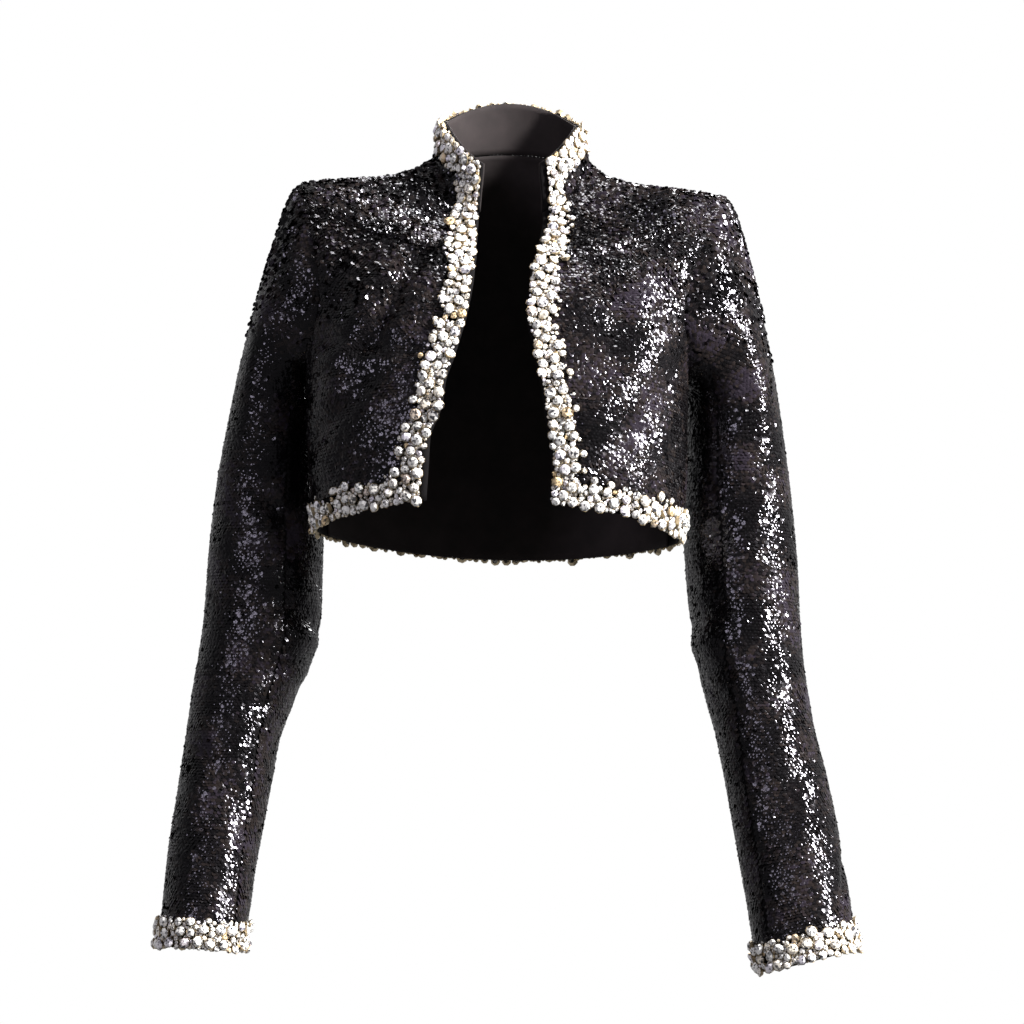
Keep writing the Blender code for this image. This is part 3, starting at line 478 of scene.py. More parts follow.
TORSO = Table(TORSO_COLUMNS, TORSO_ROWS)
COLLAR = Table(COLLAR_COLUMNS, COLLAR_ROWS)
EDGES = Table(EDGE_COLUMNS, EDGE_ROWS)
GAPS = Table(GAP_COLUMNS, GAP_ROWS)
SLEEVES = {side: Table(SLEEVE_COLUMNS, rows) for side, rows in SLEEVE_ROWS.items()}
HEADS = {row["side"]: row for row in named(HEAD_COLUMNS, HEAD_ROWS)}


def unit(vectors):
    """The vectors at length one."""
    return vectors / np.maximum(np.linalg.norm(vectors, axis=-1, keepdims=True), LEAST_LENGTH)


def signed_power(value, power):
    """A power that keeps the sign, for rounded-square cuts."""
    return np.sign(value) * np.abs(value)**power


def line_fold(x, z, folds):
    """Height of the folds at places seen from the front or the back."""
    total = np.zeros(np.shape(x))
    for fold in named(FOLD_COLUMNS, folds):
        away_x, away_z = x - fold["x0"], z - fold["z0"]
        along_x, along_z = fold["x1"] - fold["x0"], fold["z1"] - fold["z0"]
        share = (away_x * along_x + away_z * along_z) / (along_x**2 + along_z**2)
        share = np.clip(share, 0, 1)
        far = np.hypot(away_x - share * along_x, away_z - share * along_z)
        total = total + fold["height"] * np.exp(-(far / fold["half_width"])**2)
    return total


def ring_point(ring, angle):
    """Point of a closed ring; the angle runs from the front by the wearer's left side to the back."""
    front, side = np.cos(angle), np.sin(angle)
    ahead = front >= 0
    power = 2 / np.where(ahead, ring["front_power"], ring["back_power"])
    depth = np.where(ahead, ring["front_depth"], ring["back_depth"])
    end_z = np.where(ahead, ring["z_front"], ring["z_back"])
    x = ring["x_mid"] + ring["half_width"] * signed_power(side, power)
    y = ring["y_mid"] - depth * signed_power(front, power)
    z = ring["z_side"] + (end_z - ring["z_side"]) * np.abs(front)**ring["drop"]
    return np.stack([x, y, z], axis=-1)


def across_and_up(point_at, first, second, step):
    """How far a surface's points move over a step to both sides of a place."""
    across = point_at(first + step, second) - point_at(first - step, second)
    return across, point_at(first, second + step) - point_at(first, second - step)


def normal_at(point_at, first, second, step):
    """Unit normals of a surface."""
    return unit(np.cross(*across_and_up(point_at, first, second, step)))


def blended_ring(angle, height):
    """Torso without folds: its rings blended up and down, but not at the hem, the neck or the side line."""
    reach = BLEND_REACH * np.abs(np.cos(angle))**BLEND_POWER
    reach = np.clip(np.minimum(reach, np.minimum(height - HEM, NECK - height)), 0, None)
    total = 0
    for row in named(BLEND_COLUMNS, BLEND_ROWS):
        total = total + row["weight"] * ring_point(TORSO.at(height + row["step"] * reach), angle)
    return total


def torso_fold(angle, height, point):
    """Folds of the fronts and the back, fading towards the side line and the shoulder."""
    front = np.clip(np.cos(angle) * FOLD_REACH_FRONT, 0, 1)
    back = np.clip(-np.cos(angle) * FOLD_REACH_BACK, 0, 1)
    calm = np.clip((SHOULDER_TIP + FOLD_FADE_ABOVE_TIP - height) / FOLD_FADE, 0, 1)
    ahead = line_fold(point[..., 0], point[..., 2], FRONT_FOLDS) * calm
    behind = line_fold(point[..., 0], point[..., 2], BACK_FOLDS)
    return ahead * front + behind * back


def torso_point(angle, height):
    """Outer face of the torso at an angle round it and a height along the cloth from the hem."""
    base = blended_ring(angle, height)
    out = normal_at(blended_ring, angle, height, SLOPE_STEP)
    return base + out * torso_fold(angle, height, base)[..., None]


def collar_point(angle, rise):
    """Outer face of the collar, from its seam (0) to its top edge (1)."""
    return ring_point(COLLAR.at(rise), angle)


def side_line(height):
    """Angle of the wearer's left side seam and shoulder seam."""
    return np.radians(TORSO.at(height)["side_angle"])


def edge_angle(side, table, place):
    """Angle at which a front edge crosses a ring, found from where the edge runs."""
    ring = table.at(place)
    angle = np.full(np.shape(place), EDGE_GUESS)
    for _ in range(EDGE_SEARCHES):
        z = ring_point(ring, angle * SIDES[side])[..., 2]
        x = EDGES.at(z)[side + "_x"]
        share = np.abs(x - ring["x_mid"]) / ring["half_width"]
        angle = np.arcsin(np.clip(share, 0, 1)**(ring["front_power"] / 2))
    return angle


def armhole_place(turn):
    """Angle and height on the torso of a point of the left armhole; turn is 0 low down and runs forward."""
    share = (1 - np.cos(turn)) / 2
    height = UNDERARM + (SHOULDER_TIP - UNDERARM) * share
    swing = signed_power(np.sin(turn), 1 + (ARMHOLE_TOP_POWER - 1) * share)
    spread = np.where(swing >= 0, ARMHOLE_FRONT, ARMHOLE_BACK) * swing
    return side_line(height) - spread, height


def armhole_point(side, turn):
    """Point of an armhole's seam line."""
    angle, height = armhole_place(turn)
    if side == "right":
        angle = 2 * math.pi - angle
    return torso_point(angle, height)


def sleeve_cut(side, turn, z):
    """Point of a level cut through the arm; turn is 0 at the inner side and runs forward."""
    row = SLEEVES[side].at(z)
    half_width = (row["outer_x"] - row["inner_x"]) / 2
    toward = signed_power(np.cos(turn), 2 / SLEEVE_POWER) * half_width
    ahead = signed_power(np.sin(turn), 2 / SLEEVE_POWER) * row["depth"] / 2
    swing = np.radians(row["turn"])
    inward = toward * np.cos(swing) - ahead * np.sin(swing)
    forward = ahead * np.cos(swing) + toward * np.sin(swing)
    out = (row["outer_x"] + row["inner_x"]) / 2 - inward
    rise = -inward * row["slope"]
    return np.stack([SIDES[side] * out, row["y_mid"] - forward, z + rise], axis=-1)


def crease(side, turn, z):
    """Height of the creases across a sleeve."""
    total = np.zeros(np.broadcast(turn, z).shape)
    for row in named(CREASE_COLUMNS, CREASES[side]):
        away = (turn - math.radians(row["around"]) + math.pi) % (2 * math.pi) - math.pi
        share = away / math.radians(row["half_length"])
        line = row["z"] + row["climb"] * share
        total = total + row["height"] * np.exp(-share**2 - ((z - line) / row["half_width"])**2)
    return total


def arm_point(side, turn, z):
    """Outer face of the sleeve below its head."""
    cut = functools.partial(sleeve_cut, side)
    out = normal_at(cut, turn, z, SLOPE_STEP) * SIDES[side]
    return cut(turn, z) + out * crease(side, turn, z)[..., None]


def head_point(side, turn, share):
    """Outer face of the sleeve head, from the armhole (0) to the top of the arm (1)."""
    row = HEADS[side]
    top = SLEEVES[side].knots[-1]
    seam = armhole_point(side, turn)
    end, ahead = (arm_point(side, turn, np.full(np.shape(turn), z)) for z in (top, top - HEAD_AHEAD))
    tip = (1 - np.cos(turn)) / 2
    notch = np.sin(turn)**2
    start = row["start_tip"] * tip + row["start_underarm"] * (1 - tip)
    start = start * (1 - notch) + row["start_notch"] * notch
    lift = row["lift_tip"] * tip**LIFT_TIP_POWER + row["lift_underarm"] * (1 - tip)**LIFT_UNDERARM_POWER
    lift = lift * (1 - notch)
    out = unit(np.stack(np.broadcast_arrays(SIDES[side], 0.0, lift), axis=-1))
    run = np.linalg.norm(end - seam, axis=-1, keepdims=True) * HEAD_RUN
    first = seam + out * start[..., None]
    second = end - unit(ahead - end) * run
    t = np.asarray(share)[..., None]
    return (1 - t)**3 * seam + 3 * (1 - t)**2 * t * first + 3 * (1 - t) * t**2 * second + t**3 * end


def sleeve_point(side, turn, place):
    """Outer face of a whole sleeve; place is 0 at the armhole, 1 at the top of the arm and 2 at the cuff."""
    turn, place = np.broadcast_arrays(turn, place)
    cuff, top = SLEEVES[side].knots[[0, -1]]
    z = top + (cuff - top) * np.clip(place - 1, 0, 1)
    head = head_point(side, turn, np.clip(place, 0, 1))
    return np.where((place < 1)[..., None], head, arm_point(side, turn, z))


def armhole_spread(height, widest):
    """How far the armhole reaches from the side line at a height; nothing outside it."""
    share = np.clip((height - UNDERARM) / (SHOULDER_TIP - UNDERARM), 0, 1)
    return widest * np.sin(np.arccos(1 - 2 * share))**(1 + (ARMHOLE_TOP_POWER - 1) * share)


def surface(point_at, low, high, step=NORMAL_STEP, out=1.0):
    """Function for points and unit normals of a surface whose second value stays between two ends."""
    def held(first, second):
        return point_at(first, np.clip(second, low, high))

    return lambda first, second: (held(first, second), normal_at(held, first, second, step) * out)


TORSO_SURFACE = surface(torso_point, HEM, NECK)
COLLAR_SURFACE = surface(collar_point, 0, 1, COLLAR_STEP)


class Panel:
    """A piece of cloth as a grid of points and normals, read by share across (0 to 1) and by level."""

    def __init__(self, name, skin, levels, start, end, grain, columns):
        self.name = name
        self.levels = levels
        start, end, grain = (np.broadcast_to(line, levels.shape) for line in (start, end, grain))
        self.shares = np.linspace(0, 1, columns + 1)
        self.grain = (grain - start) / (end - start)
        places = start[:, None] + (end - start)[:, None] * self.shares
        self.points, self.normals = skin(places, np.repeat(levels[:, None], columns + 1, axis=1))

    def read(self, grid, share, level):
        """Values of a grid at shares and levels, straight between its points."""
        row = np.interp(level, self.levels, np.arange(len(self.levels)))
        column = np.asarray(share) * (len(self.shares) - 1)
        low_row = np.clip(row.astype(int), 0, len(self.levels) - 2)
        low_column = np.clip(column.astype(int), 0, len(self.shares) - 2)
        up, across = (row - low_row)[..., None], (column - low_column)[..., None]
        low = grid[low_row, low_column] * (1 - across) + grid[low_row, low_column + 1] * across
        high = grid[low_row + 1, low_column] * (1 - across) + grid[low_row + 1, low_column + 1] * across
        return low * (1 - up) + high * up

    def at(self, share, level):
        """Points at shares and levels."""
        return self.read(self.points, share, level)

    def normal(self, share, level):
        """Unit normals at shares and levels."""
        return unit(self.read(self.normals, share, level))


def armhole_levels(count):
    """Heights up an armhole, closest at its two ends."""
    turns = np.linspace(0, math.pi, count + 1)
    return UNDERARM + (SHOULDER_TIP - UNDERARM) * (1 - np.cos(turns)) / 2


def torso_levels():
    """Heights of the rows of a torso panel."""
    return np.concatenate([
        np.linspace(HEM, BAND_WIDTH, BAND_STEPS),
        np.linspace(BAND_WIDTH, UNDERARM, BODY_STEPS)[1:],
        armhole_levels(ARMHOLE_STEPS)[1:],
        np.linspace(SHOULDER_TIP, NECK, SHOULDER_STEPS)[1:],
    ])


def front_panel(side):
    """Front of one side, from its front edge outward."""
    flip = 2 * math.pi if side == "right" else 0.0
    heights = torso_levels()
    rings = TORSO.at(heights)
    lines = (
        # front edge, side seam with the armhole, grain line
        edge_angle(side, TORSO, heights),
        side_line(heights) - armhole_spread(heights, ARMHOLE_FRONT),
        np.arcsin(np.minimum(GRAIN_LINE / rings["half_width"], 1.0)**(rings["front_power"] / 2)),
    )
    lines = (flip + SIDES[side] * line for line in lines)
    return Panel("front_" + side, TORSO_SURFACE, heights, *lines, FRONT_GRID)


def back_panel():
    """Back, from the wearer's left to the right."""
    heights = torso_levels()
    start = side_line(heights) + armhole_spread(heights, ARMHOLE_BACK)
    return Panel("back", TORSO_SURFACE, heights, start, 2 * math.pi - start, math.pi, BACK_GRID)


def collar_panel():
    """Stand collar, from the wearer's left end to the right end."""
    rises = np.linspace(0, 1, COLLAR_STEPS)
    start, end = (edge_angle(side, COLLAR, rises) for side in ("left", "right"))
    return Panel("collar", COLLAR_SURFACE, rises, start, 2 * math.pi - end, math.pi, COLLAR_GRID)


def cuff_levels():
    """Places of the rows of a cuff's band."""
    return np.linspace(2 - BAND_WIDTH / ARM_LENGTH, 2, BAND_STEPS)


def sleeve_levels():
    """Places of the rows of a sleeve, from the armhole to the cuff."""
    band = cuff_levels()
    return np.concatenate([np.linspace(0, 1, HEAD_STEPS), np.linspace(1, band[0], ARM_STEPS)[1:], band[1:]])


def sleeve_panel(side, name, start, end, levels, columns):
    """Part of a sleeve between two turns round it."""
    skin = surface(functools.partial(sleeve_point, side), 0, 2, out=-SIDES[side])
    return Panel(name, skin, levels, start, end, (start + end) / 2, columns)


def grid_faces(rows, columns, first=0):
    """Quads of a grid of points, as rows of four indices."""
    row, column = np.meshgrid(np.arange(rows - 1), np.arange(columns - 1), indexing="ij")
    low = (row * columns + column).ravel() + first
    return np.stack([low, low + 1, low + columns + 1, low + columns], axis=1)


def border_faces(rows, columns):
    """Quads that join two grids of the same size along their borders."""
    front = np.arange(rows * columns).reshape(rows, columns)
    loop = np.concatenate([front[0, :-1], front[:-1, -1], front[-1, :0:-1], front[:0:-1, 0]])
    after = np.roll(loop, -1)
    back = rows * columns
    return np.stack([after, loop, loop + back, after + back], axis=1)


def link_mesh(name, points, faces, material, smooth=True, marks=None, face_marks=None):
    """A mesh object from arrays of points and faces, with named values at its points or faces."""
    mesh = bpy.data.meshes.new(name)
    count, sides = faces.shape
    mesh.vertices.add(len(points))
    mesh.vertices.foreach_set("co", points.astype(np.float32).ravel())
    mesh.loops.add(count * sides)
    mesh.loops.foreach_set("vertex_index", faces.astype(np.int32).ravel())
    mesh.polygons.add(count)
    mesh.polygons.foreach_set("loop_start", np.arange(0, count * sides, sides, dtype=np.int32))
    mesh.update(calc_edges=True)
    mesh.polygons.foreach_set("use_smooth", np.full(count, smooth))
    for domain, named_values in (("POINT", marks), ("FACE", face_marks)):
        for name_of_mark, values in (named_values or {}).items():
            layer = mesh.attributes.new(name_of_mark, "FLOAT", domain)
            layer.data.foreach_set("value", values.astype(np.float32).ravel())
    mesh.materials.append(material)
    thing = bpy.data.objects.new(name, mesh)
    bpy.context.scene.collection.objects.link(thing)
    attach(thing, "root")
    return thing


def add_wall(name, panel, under, thick, material, outward):
    """Closed thin wall at a depth under a panel."""
    rows, columns = panel.points.shape[:2]
    faces = [panel.points + panel.normals * depth for depth in (-under, -under - thick)]
    back = grid_faces(rows, columns, rows * columns)[:, ::-1]
    quads = np.concatenate([grid_faces(rows, columns), back, border_faces(rows, columns)])
    if not outward:
        quads = quads[:, ::-1]
    return link_mesh(name, np.concatenate(faces).reshape(-1, 3), quads, material)


def patches(points, size, seed):
    """Smooth uneven values from about -1 to 1 over places in space, with features of the given size."""
    rng = np.random.default_rng(seed)
    total = np.zeros(len(points))
    for _ in range(PATCH_WAVES):
        way = rng.normal(size=3)
        way *= 2 * math.pi / size * rng.uniform(*PATCH_RANGE) / np.linalg.norm(way)
        total += np.sin(points @ way + rng.uniform(0, 2 * math.pi))
    return total * math.sqrt(2 / PATCH_WAVES) / 2


def sequin_rows(panel):
    """Levels of a panel's rows of sequins, a sequin's pitch apart where they lie furthest apart."""
    steps = np.linalg.norm(np.diff(panel.points, axis=0), axis=2).max(axis=1)
    along = np.concatenate([[0], np.cumsum(steps)])
    count = int(along[-1] / SEQUIN_PITCH)
    return np.interp((np.arange(count) + 0.5) * along[-1] / count, along, panel.levels)


def row_shares(panel, level, offset):
    """Shares of one row of sequins, a string's pitch apart on both sides of the grain line."""
    points = panel.at(panel.shares, np.full(len(panel.shares), level))
    length = np.concatenate([[0], np.cumsum(np.linalg.norm(np.diff(points, axis=0), axis=1))])
    origin = np.interp(np.interp(level, panel.levels, panel.grain), panel.shares, length)
    first = math.ceil((STRING_MARGIN - origin) / STRING_PITCH - offset)
    last = math.floor((length[-1] - STRING_MARGIN - origin) / STRING_PITCH - offset)
    return np.interp(origin + (np.arange(first, last + 1) + offset) * STRING_PITCH, length, panel.shares)


def sequin_places(panel, depth_at):
    """Centres, outward directions and downward directions of a panel's sequins."""
    rows = sequin_rows(panel)
    steps = np.gradient(rows)
    found = []
    for number, (row, step) in enumerate(zip(rows, steps)):
        shares = row_shares(panel, row, (number % 2) / 2)
        found.append(np.stack([shares, *np.repeat([[row], [step], [number]], len(shares), axis=1)]))
    share, level, step, number = np.concatenate(found, axis=1)
    points = panel.at(share, level)
    ahead, behind = (panel.at(share, np.clip(level + half, panel.levels[0], panel.levels[-1]))
                     for half in (step / 2, -step / 2))
    gap = np.linalg.norm(ahead - behind, axis=1)
    crowding = np.log2(SEQUIN_PITCH / np.maximum(gap, LEAST_GAP))
    every = 2**np.clip(np.round(crowding - THIN_LATE), 0, THIN_MOST)
    down = unit(behind - ahead)
    down = np.where(down[:, 2:] > 0, -down, down)
    kept = (number % every < 1) & (depth_at(panel, level, points) < SEQUINS_UNDER_STONES)
    return points[kept], panel.normal(share, level)[kept], down[kept]


def square_to(vectors, directions):
    """The vectors' parts at right angles to the directions, at length one."""
    return unit(vectors - directions * np.sum(vectors * directions, axis=1, keepdims=True))


def circle(first, second, sides, shift, radius):
    """Points round many middles, each in the plane of its two directions."""
    turn = np.arange(sides) * 2 * math.pi / sides + shift
    around = np.stack([np.cos(turn), np.sin(turn)], axis=1) * radius
    return first[:, None] * around[None, :, :1] + second[:, None] * around[None, :, 1:]


def repeated(fan, count, per):
    """The same faces for many things, each with its own points."""
    return (np.stack(fan, axis=1)[None] + (np.arange(count) * per)[:, None, None]).reshape(-1, 3)


def add_sequins(name, points, out, down, material, seed):
    """Round sequins, dished or domed, each overlapping the one below it, joined in one mesh."""
    rng = np.random.default_rng(seed)
    count = len(points)
    down = square_to(down, out)
    side = np.cross(down, out)
    loose = np.where(rng.uniform(size=count) < ODD_SHARE, ODD_LOOSE, SEQUIN_LOOSE)
    raised = np.clip((points[:, 2] - RAISED_FROM) / (RAISED_TO - RAISED_FROM), 0, 1) * RAISED_SHARE
    raised = np.where(rng.uniform(size=count) < raised, RAISED_LEAN * rng.uniform(*RAISED_RANGE, count), 0)
    raised = raised * np.where(rng.uniform(size=count) < 0.5, 1, -1)
    tilt = SEQUIN_TILT + PATCH_TILT * patches(points, PATCH_SIZE, seed + 1) + loose * rng.normal(size=count)
    lean = PATCH_TILT * patches(points, PATCH_SIZE, seed + 2) + loose * rng.normal(size=count) + raised
    face = unit(out * np.cos(tilt)[:, None] - down * np.sin(tilt)[:, None] + side * np.sin(lean)[:, None])
    first = square_to(side, face)
    lift = SEQUIN_LIFT + SEQUIN / 2 * np.sin(SEQUIN_TILT) * TILED_LIFT
    lift = lift + SEQUIN / 2 * np.sin(np.abs(raised)) * RAISED_LIFT
    centre = points + out * (lift * rng.uniform(*LIFT_RANGE, count))[:, None]
    centre = centre + side * (rng.normal(size=count) * STRING_PITCH * STRING_STRAY)[:, None]
    rim = centre[:, None] + circle(first, np.cross(face, first), SEQUIN_SIDES, 0.0, SEQUIN / 2)
    domed = rng.uniform(size=count) < DOME_SHARE
    dome = np.where(domed, rng.uniform(DOME_LOW, DOME_HIGH, count), -SEQUIN_DISH)
    middle = centre + face * dome[:, None]
    verts = np.concatenate([middle[:, None], rim], axis=1).reshape(-1, 3)
    corner = np.arange(SEQUIN_SIDES)
    faces = repeated((corner * 0, corner + 1, (corner + 1) % SEQUIN_SIDES + 1), count, SEQUIN_SIDES + 1)
    rim_mark = np.tile(np.concatenate([[0.0], np.ones(SEQUIN_SIDES)]), count)
    tone = (1 + patches(points, TONE_SIZE, seed + 3)) / 2 + rng.normal(size=count) * TONE_SPREAD
    tone = np.repeat(np.clip(tone, 0, 1), SEQUIN_SIDES + 1)
    return link_mesh(name, verts, faces, material, marks={"rim": rim_mark, "tone": tone})


def set_stones(places, out, area, seed):
    """Which candidate places hold a stone, with its radius and lift; large ones are set first."""
    rng = np.random.default_rng(seed)
    cell = 2 * STONE_ROWS[0][0]
    taken = {}
    chosen = []
    for row in named(STONE_COLUMNS, STONE_ROWS):
        tries = int(row["tries_per_cm2"] * area * CM2_PER_M2)
        for pick in rng.integers(0, len(places), tries):
            place = places[pick]
            key = tuple(np.floor(place / cell).astype(int))
            near = [item for a in (-1, 0, 1) for b in (-1, 0, 1) for c in (-1, 0, 1)
                    for item in taken.get((key[0] + a, key[1] + b, key[2] + c), ())]
            radius = row["radius"] * rng.uniform(*STONE_SPREAD)
            if any(math.dist(place, other) < (radius + size) * row["overlap"] for other, size in near):
                continue
            taken.setdefault(key, []).append((place, radius))
            chosen.append((pick, radius, row["lift"] * rng.uniform(*STONE_LIFTS)))
    picks, radius, lift = (np.array(column) for column in zip(*chosen))
    return places[picks], out[picks], radius, lift


def add_stones(name, places, out, area, material, setting, seed):
    """Round faceted stones in cup settings, packed over a band; the settings are a second mesh."""
    centre, out, radius, lift = set_stones(places, out, area, seed)
    rng = np.random.default_rng(seed + 1)
    count = len(centre)
    face = unit(out + rng.normal(size=(count, 3)) * math.sin(STONE_TILT))
    first = unit(np.cross(face, rng.normal(size=(count, 3))))
    second = np.cross(face, first)
    middle = centre + out * lift[:, None]

    def rings(rows):
        """Rings of points round each stone; a row is a share of its radius, a height and a turn."""
        parts = [circle(first, second, STONE_SIDES, shift, share) + face[:, None] * height
                 for share, height, shift in rows]
        return np.concatenate(parts, axis=1) * radius[:, None, None] + middle[:, None]

    tops = (middle + face * radius[:, None] * STONE_TOP)[:, None]
    verts = np.concatenate([tops, rings(STONE_CUT)], axis=1)
    per = verts.shape[1]
    n = STONE_SIDES
    a, b = np.arange(n), (np.arange(n) + 1) % n
    table, girdle, foot = ((1 + n * k + a, 1 + n * k + b) for k in range(3))
    fan = np.hstack([
        (a * 0, *table),
        (table[0], girdle[0], table[1]),
        (table[1], *girdle),
        (girdle[0], *foot),
        (girdle[0], foot[1], girdle[1]),
    ])
    faces = repeated(fan, count, per)
    # A random value for each face picks the painted reflection of that face
    stones = link_mesh(name, verts.reshape(-1, 3), faces, material, smooth=False,
                       marks={"tint": np.repeat(rng.uniform(size=count), per)},
                       face_marks={"facet": rng.uniform(size=len(faces))})
    cup_faces = repeated(np.hstack([(a, n + a, n + b), (a, n + b, b)]), count, 2 * n)
    cup = link_mesh(name + "_settings", rings(CUP_RINGS).reshape(-1, 3), cup_faces, setting, smooth=False)
    return stones, cup


def edge_distance(panel, level, points, share):
    """Distance of points from one border of their panel."""
    return np.linalg.norm(points - panel.at(np.full(len(level), share), level), axis=1)


def front_depth(panel, level, points):
    """How far inside the band a place on a front lies; below 0 outside it."""
    return np.maximum(BAND_WIDTH - edge_distance(panel, level, points, 0.0), BAND_WIDTH - level)


def back_depth(panel, level, points):
    """How far inside the band a place on the back lies."""
    return BAND_WIDTH - level


def collar_depth(panel, level, points):
    """How far inside the band a place on the collar lies."""
    ends = np.minimum(edge_distance(panel, level, points, 0.0), edge_distance(panel, level, points, 1.0))
    return np.maximum(BAND_WIDTH - ends, (level - COLLAR_BAND_FROM) * COLLAR_HEIGHT)


def sleeve_depth(panel, level, points):
    """How far inside the band a place on a sleeve lies."""
    return (level - 2) * ARM_LENGTH + BAND_WIDTH


def band_candidates(panel, depth_at, edges, seed):
    """Evenly spread places over a panel's band, their directions and the band's area."""
    rng = np.random.default_rng(seed)
    share = rng.uniform(0, 1, CANDIDATES)
    level = rng.uniform(panel.levels[0], panel.levels[-1], CANDIDATES)
    points = panel.at(share, level)
    depth = depth_at(panel, level, points)
    inside = depth > STONE_INSET * (1 + INSET_WAVER * patches(points, INSET_SIZE, seed))
    inside |= (depth > -STRAY_REACH) & (rng.uniform(size=CANDIDATES) < STRAY_SHARE)
    for edge, side in edges:
        inside &= edge_distance(panel, level, points, edge) > GAPS.at(points[:, 2])[side]
    share, level, points = share[inside], level[inside], points[inside]
    across, up = across_and_up(panel.at, share, level, SHARE_STEP)
    density = np.linalg.norm(np.cross(across / (2 * SHARE_STEP), up / (2 * SHARE_STEP)), axis=1)
    area = density.sum() / CANDIDATES * (panel.levels[-1] - panel.levels[0])
    kept = rng.uniform(size=len(density)) < density / np.quantile(density, CANDIDATE_TOP)
    return points[kept], panel.normal(share, level)[kept], area


def wire(tree, node, values=None, feeds=None):
    """Plain values of a node's sockets, and what feeds them."""
    for name, value in (values or {}).items():
        node.inputs[name].default_value = value
    for name, source in (feeds or {}).items():
        tree.links.new(source, node.inputs[name])
    return node


def add_node(tree, kind, values=None, feeds=None, **settings):
    """A node with its settings, values and feeds."""
    node = tree.nodes.new("ShaderNode" + kind)
    for name, value in settings.items():
        setattr(node, name, value)
    return wire(tree, node, values, feeds)


def ramp(tree, value, stops, interpolation="LINEAR"):
    """A colour ramp read by a value."""
    node = add_node(tree, "ValToRGB", feeds={"Fac": value})
    node.color_ramp.interpolation = interpolation
    while len(node.color_ramp.elements) < len(stops):
        node.color_ramp.elements.new(0.5)
    for element, (place, colour) in zip(node.color_ramp.elements, stops):
        element.position = place
        element.color = (*colour, 1.0)
    return node.outputs["Color"]


def new_material(name, values):
    """A material with plain values on its shader; gives its node tree and shader."""
    material = bpy.data.materials.new(name)
    material.use_nodes = True
    tree = material.node_tree
    return material, tree, wire(tree, tree.nodes["Principled BSDF"], values)


def mark(tree, name):
    """A named value of the mesh's points or faces."""
    return add_node(tree, "Attribute", attribute_name=name).outputs["Fac"]


def mix_colours(tree, values, feeds, kind="MIX"):
    """Mix of two colours."""
    return add_node(tree, "Mix", values, feeds, data_type="RGBA", blend_type=kind).outputs["Result"]


def sequin_material():
    """Black glossy plastic, a little brown or purple from disc to disc, with a dark hole in the middle."""
    material, tree, shader = new_material("sequins", SEQUIN_SHADER)
    tone, rim = mark(tree, "tone"), mark(tree, "rim")
    hole = add_node(tree, "Math", {1: SEQUIN_HOLE}, {0: rim}, operation="LESS_THAN").outputs[0]
    colour = mix_colours(tree, {"B": HOLE_COLOUR}, {"A": ramp(tree, tone, SEQUIN_COLOURS), "Factor": hole})
    rough = add_node(tree, "MapRange", SEQUIN_ROUGHNESS, {"Value": tone}).outputs["Result"]
    dull = add_node(tree, "Math", feeds={0: rough, 1: hole}, operation="MAXIMUM").outputs[0]
    wire(tree, shader, feeds={"Base Color": colour, "Roughness": dull})
    return material


def stone_material():
    """Clear foiled stone: painted reflections make its facets bright or dark at random; each stone a little
    grey, warm or lavender.
    """
    material, tree, shader = new_material("stones", STONE_SHADER)
    tint = ramp(tree, mark(tree, "tint"), STONE_COLOURS)
    # Painted reflection: random tones on the facets stand in for the light that they reflect
    facet = ramp(tree, mark(tree, "facet"), PAINTED_FACET_REFLECTIONS, "CONSTANT")
    colour = mix_colours(tree, {"Factor": 1.0}, {"A": tint, "B": facet}, "MULTIPLY")
    wire(tree, shader, feeds={"Base Color": colour})
    return material


def own_place(tree):
    """Places in the object's own space."""
    return add_node(tree, "TexCoord").outputs["Object"]


def uneven(tree, scale):
    """Noise over the object's own places."""
    values = {"Scale": scale, "Detail": NOISE_DETAIL}
    return add_node(tree, "TexNoise", values, {"Vector": own_place(tree)}).outputs["Fac"]


def relief(tree, height, strength):
    """Normals of a relief."""
    values = {"Strength": strength, "Distance": BUMP_DEPTH}
    return add_node(tree, "Bump", values, {"Height": height}).outputs["Normal"]


def setting_material():
    """Gold-tone metal, worn and uneven."""
    material, tree, shader = new_material("stone_settings", SETTING_SHADER)
    colour = ramp(tree, uneven(tree, SETTING_SPECKS), SETTING_COLOURS)
    rough = relief(tree, uneven(tree, SETTING_RELIEF), SETTING_BUMP)
    wire(tree, shader, feeds={"Base Color": colour, "Normal": rough})
    return material


def woven_material(name, colours, values, thread):
    """Woven cloth with threads of the given pitch and a little unevenness."""
    material, tree, shader = new_material(name, values)
    colour = ramp(tree, uneven(tree, CLOTH_CLOUDS), colours)
    weave = {"Scale": WEAVE_SCALE / thread, "Distortion": WEAVE_WAVER}
    warp, weft = (add_node(tree, "TexWave", weave, {"Vector": own_place(tree)}, bands_direction=way)
                  for way in ("X", "Z"))
    both = add_node(tree, "Math", feeds={0: warp.outputs["Fac"], 1: weft.outputs["Fac"]}, operation="ADD")
    rough = relief(tree, both.outputs[0], WEAVE_BUMP)
    wire(tree, shader, feeds={"Base Color": colour, "Normal": rough})
    return material


def area_light(name, place, aim, size, power, colour):
    """Soft box of the given width and height that faces a point."""
    light = bpy.data.lights.new(name, "AREA")
    light.shape = "RECTANGLE"
    light.size, light.size_y = size
    light.energy = power
    light.color = colour
    lamp = bpy.data.objects.new(name, light)
    bpy.context.scene.collection.objects.link(lamp)
    lamp.location = place
    lamp.rotation_euler = (Vector(aim) - Vector(place)).to_track_quat("-Z", "Y").to_euler()


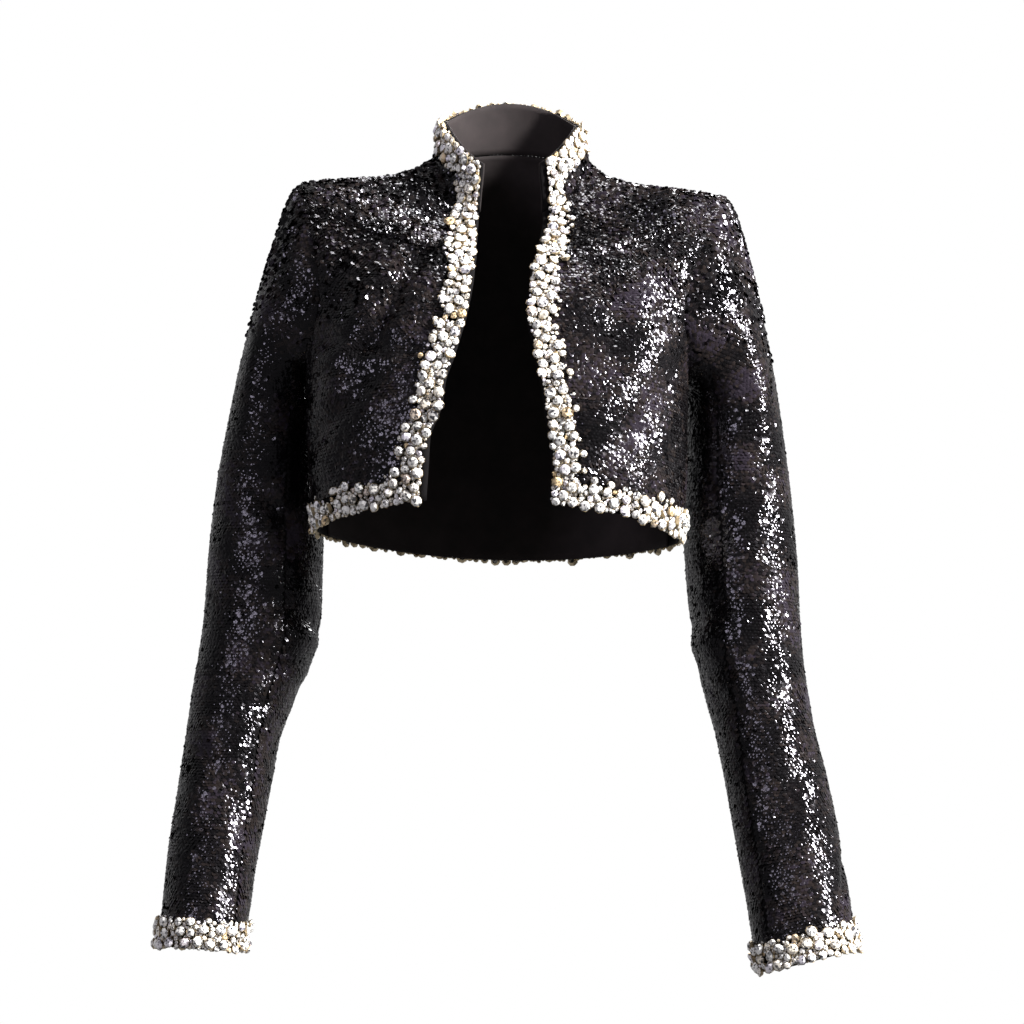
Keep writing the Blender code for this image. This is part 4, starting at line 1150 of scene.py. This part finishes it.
def set_world():
    """White to the eye; as light on the object dim from ahead and brighter from behind."""
    world = bpy.data.worlds.new("studio")
    bpy.context.scene.world = world
    world.use_nodes = True
    tree = world.node_tree
    tree.nodes.clear()
    way = add_node(tree, "TexCoord").outputs["Generated"]
    back = add_node(tree, "SeparateXYZ", feeds={0: way}).outputs["Y"]
    amount = add_node(tree, "MapRange", WORLD_TURN, {"Value": back}).outputs["Result"]
    white = {"Color": (1, 1, 1, 1), "Strength": 1.0}
    seen = add_node(tree, "Background", white).outputs[0]
    cast = add_node(tree, "Background", white, {"Strength": amount}).outputs[0]
    eye = add_node(tree, "LightPath").outputs["Is Camera Ray"]
    mix = add_node(tree, "MixShader", feeds={"Fac": eye, 1: cast, 2: seen}).outputs[0]
    add_node(tree, "OutputWorld", feeds={"Surface": mix})


def set_camera():
    """Camera at the photograph's place."""
    data = bpy.data.cameras.new("camera")
    data.lens = CAMERA_LENS
    data.sensor_width = CAMERA_SENSOR
    data.clip_end = CAMERA_FAR
    camera = bpy.data.objects.new("camera", data)
    bpy.context.scene.collection.objects.link(camera)
    right = Vector((1, 0, 0))
    ahead = Vector((0, math.cos(CAMERA_PITCH), math.sin(CAMERA_PITCH)))
    up = right.cross(ahead)
    level_right = right * math.cos(CAMERA_ROLL) + up * math.sin(CAMERA_ROLL)
    level_up = up * math.cos(CAMERA_ROLL) - right * math.sin(CAMERA_ROLL)
    turn = Matrix((level_right, level_up, -ahead)).transposed().to_4x4()
    camera.matrix_world = Matrix.Translation(CAMERA_AT) @ turn
    bpy.context.scene.camera = camera
    bpy.context.scene.view_settings.view_transform = "Standard"


def add_panel(panel, depth_at, outward, sequin, cloth, lining, seed):
    """Cloth of one piece with its sequins, and its lining where that shows."""
    wall = add_wall("cloth_" + panel.name, panel, CLOTH_UNDER, CLOTH_THICK, cloth, outward)
    sequins = add_sequins("sequins_" + panel.name, *sequin_places(panel, depth_at), sequin, seed)
    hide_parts(panel.name)
    if panel.name in LININGS:
        inner = add_wall("lining_of_" + panel.name, panel, LINING_UNDER, LINING_THICK, lining, outward)
        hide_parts("lining_" + panel.name)


def add_band(panel, name, depth_at, edges, stone, setting, seed):
    """Stones of one band, with their settings."""
    places, out, area = band_candidates(panel, depth_at, edges, seed)
    stones, cups = add_stones("stones_" + name, places, out, area, stone, setting, seed + 1)
    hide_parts("trim_" + name)


def dress():
    """All the pieces of the jacket."""
    sequin, stone, setting = sequin_material(), stone_material(), setting_material()
    cloth = woven_material("ground_cloth", CLOTH_COLOURS, GROUND_SHADER, GROUND_THREAD)
    lining = woven_material("lining", LINING_COLOURS, LINING_SHADER, LINING_THREAD)
    torso = (
        # panel, how its band lies, its borders at a front edge, whether its columns run to the wearer's left
        (front_panel("right"), front_depth, ((0.0, "right"),), False),
        (front_panel("left"), front_depth, ((0.0, "left"),), True),
        (back_panel(), back_depth, (), True),
        (collar_panel(), collar_depth, ((0.0, "left"), (1.0, "right")), True),
    )
    seed = FIRST_SEED
    for panel, depth_at, edges, outward in torso:
        add_panel(panel, depth_at, outward, sequin, cloth, lining, seed)
        add_band(panel, panel.name, depth_at, edges, stone, setting, seed + SEED_STEP // 2)
        seed += SEED_STEP
    ends = {"upper": (SLEEVE_SEAM, 2 * math.pi - SLEEVE_SEAM), "under": (-SLEEVE_SEAM, SLEEVE_SEAM)}
    for side in SIDES:
        for part, (start, end) in ends.items():
            name = "sleeve_" + side + "_" + part
            panel = sleeve_panel(side, name, start, end, sleeve_levels(), SLEEVE_GRIDS[part])
            add_panel(panel, sleeve_depth, side == "right", sequin, cloth, lining, seed)
            seed += SEED_STEP
        cuff = sleeve_panel(side, "cuff_" + side, 0.0, 2 * math.pi, cuff_levels(), CUFF_GRID)
        add_band(cuff, cuff.name, sleeve_depth, (), stone, setting, seed)
        seed += SEED_STEP


def main():
    set_camera()
    set_world()
    for light in LIGHTS:
        area_light(*light)
    dress()


main()
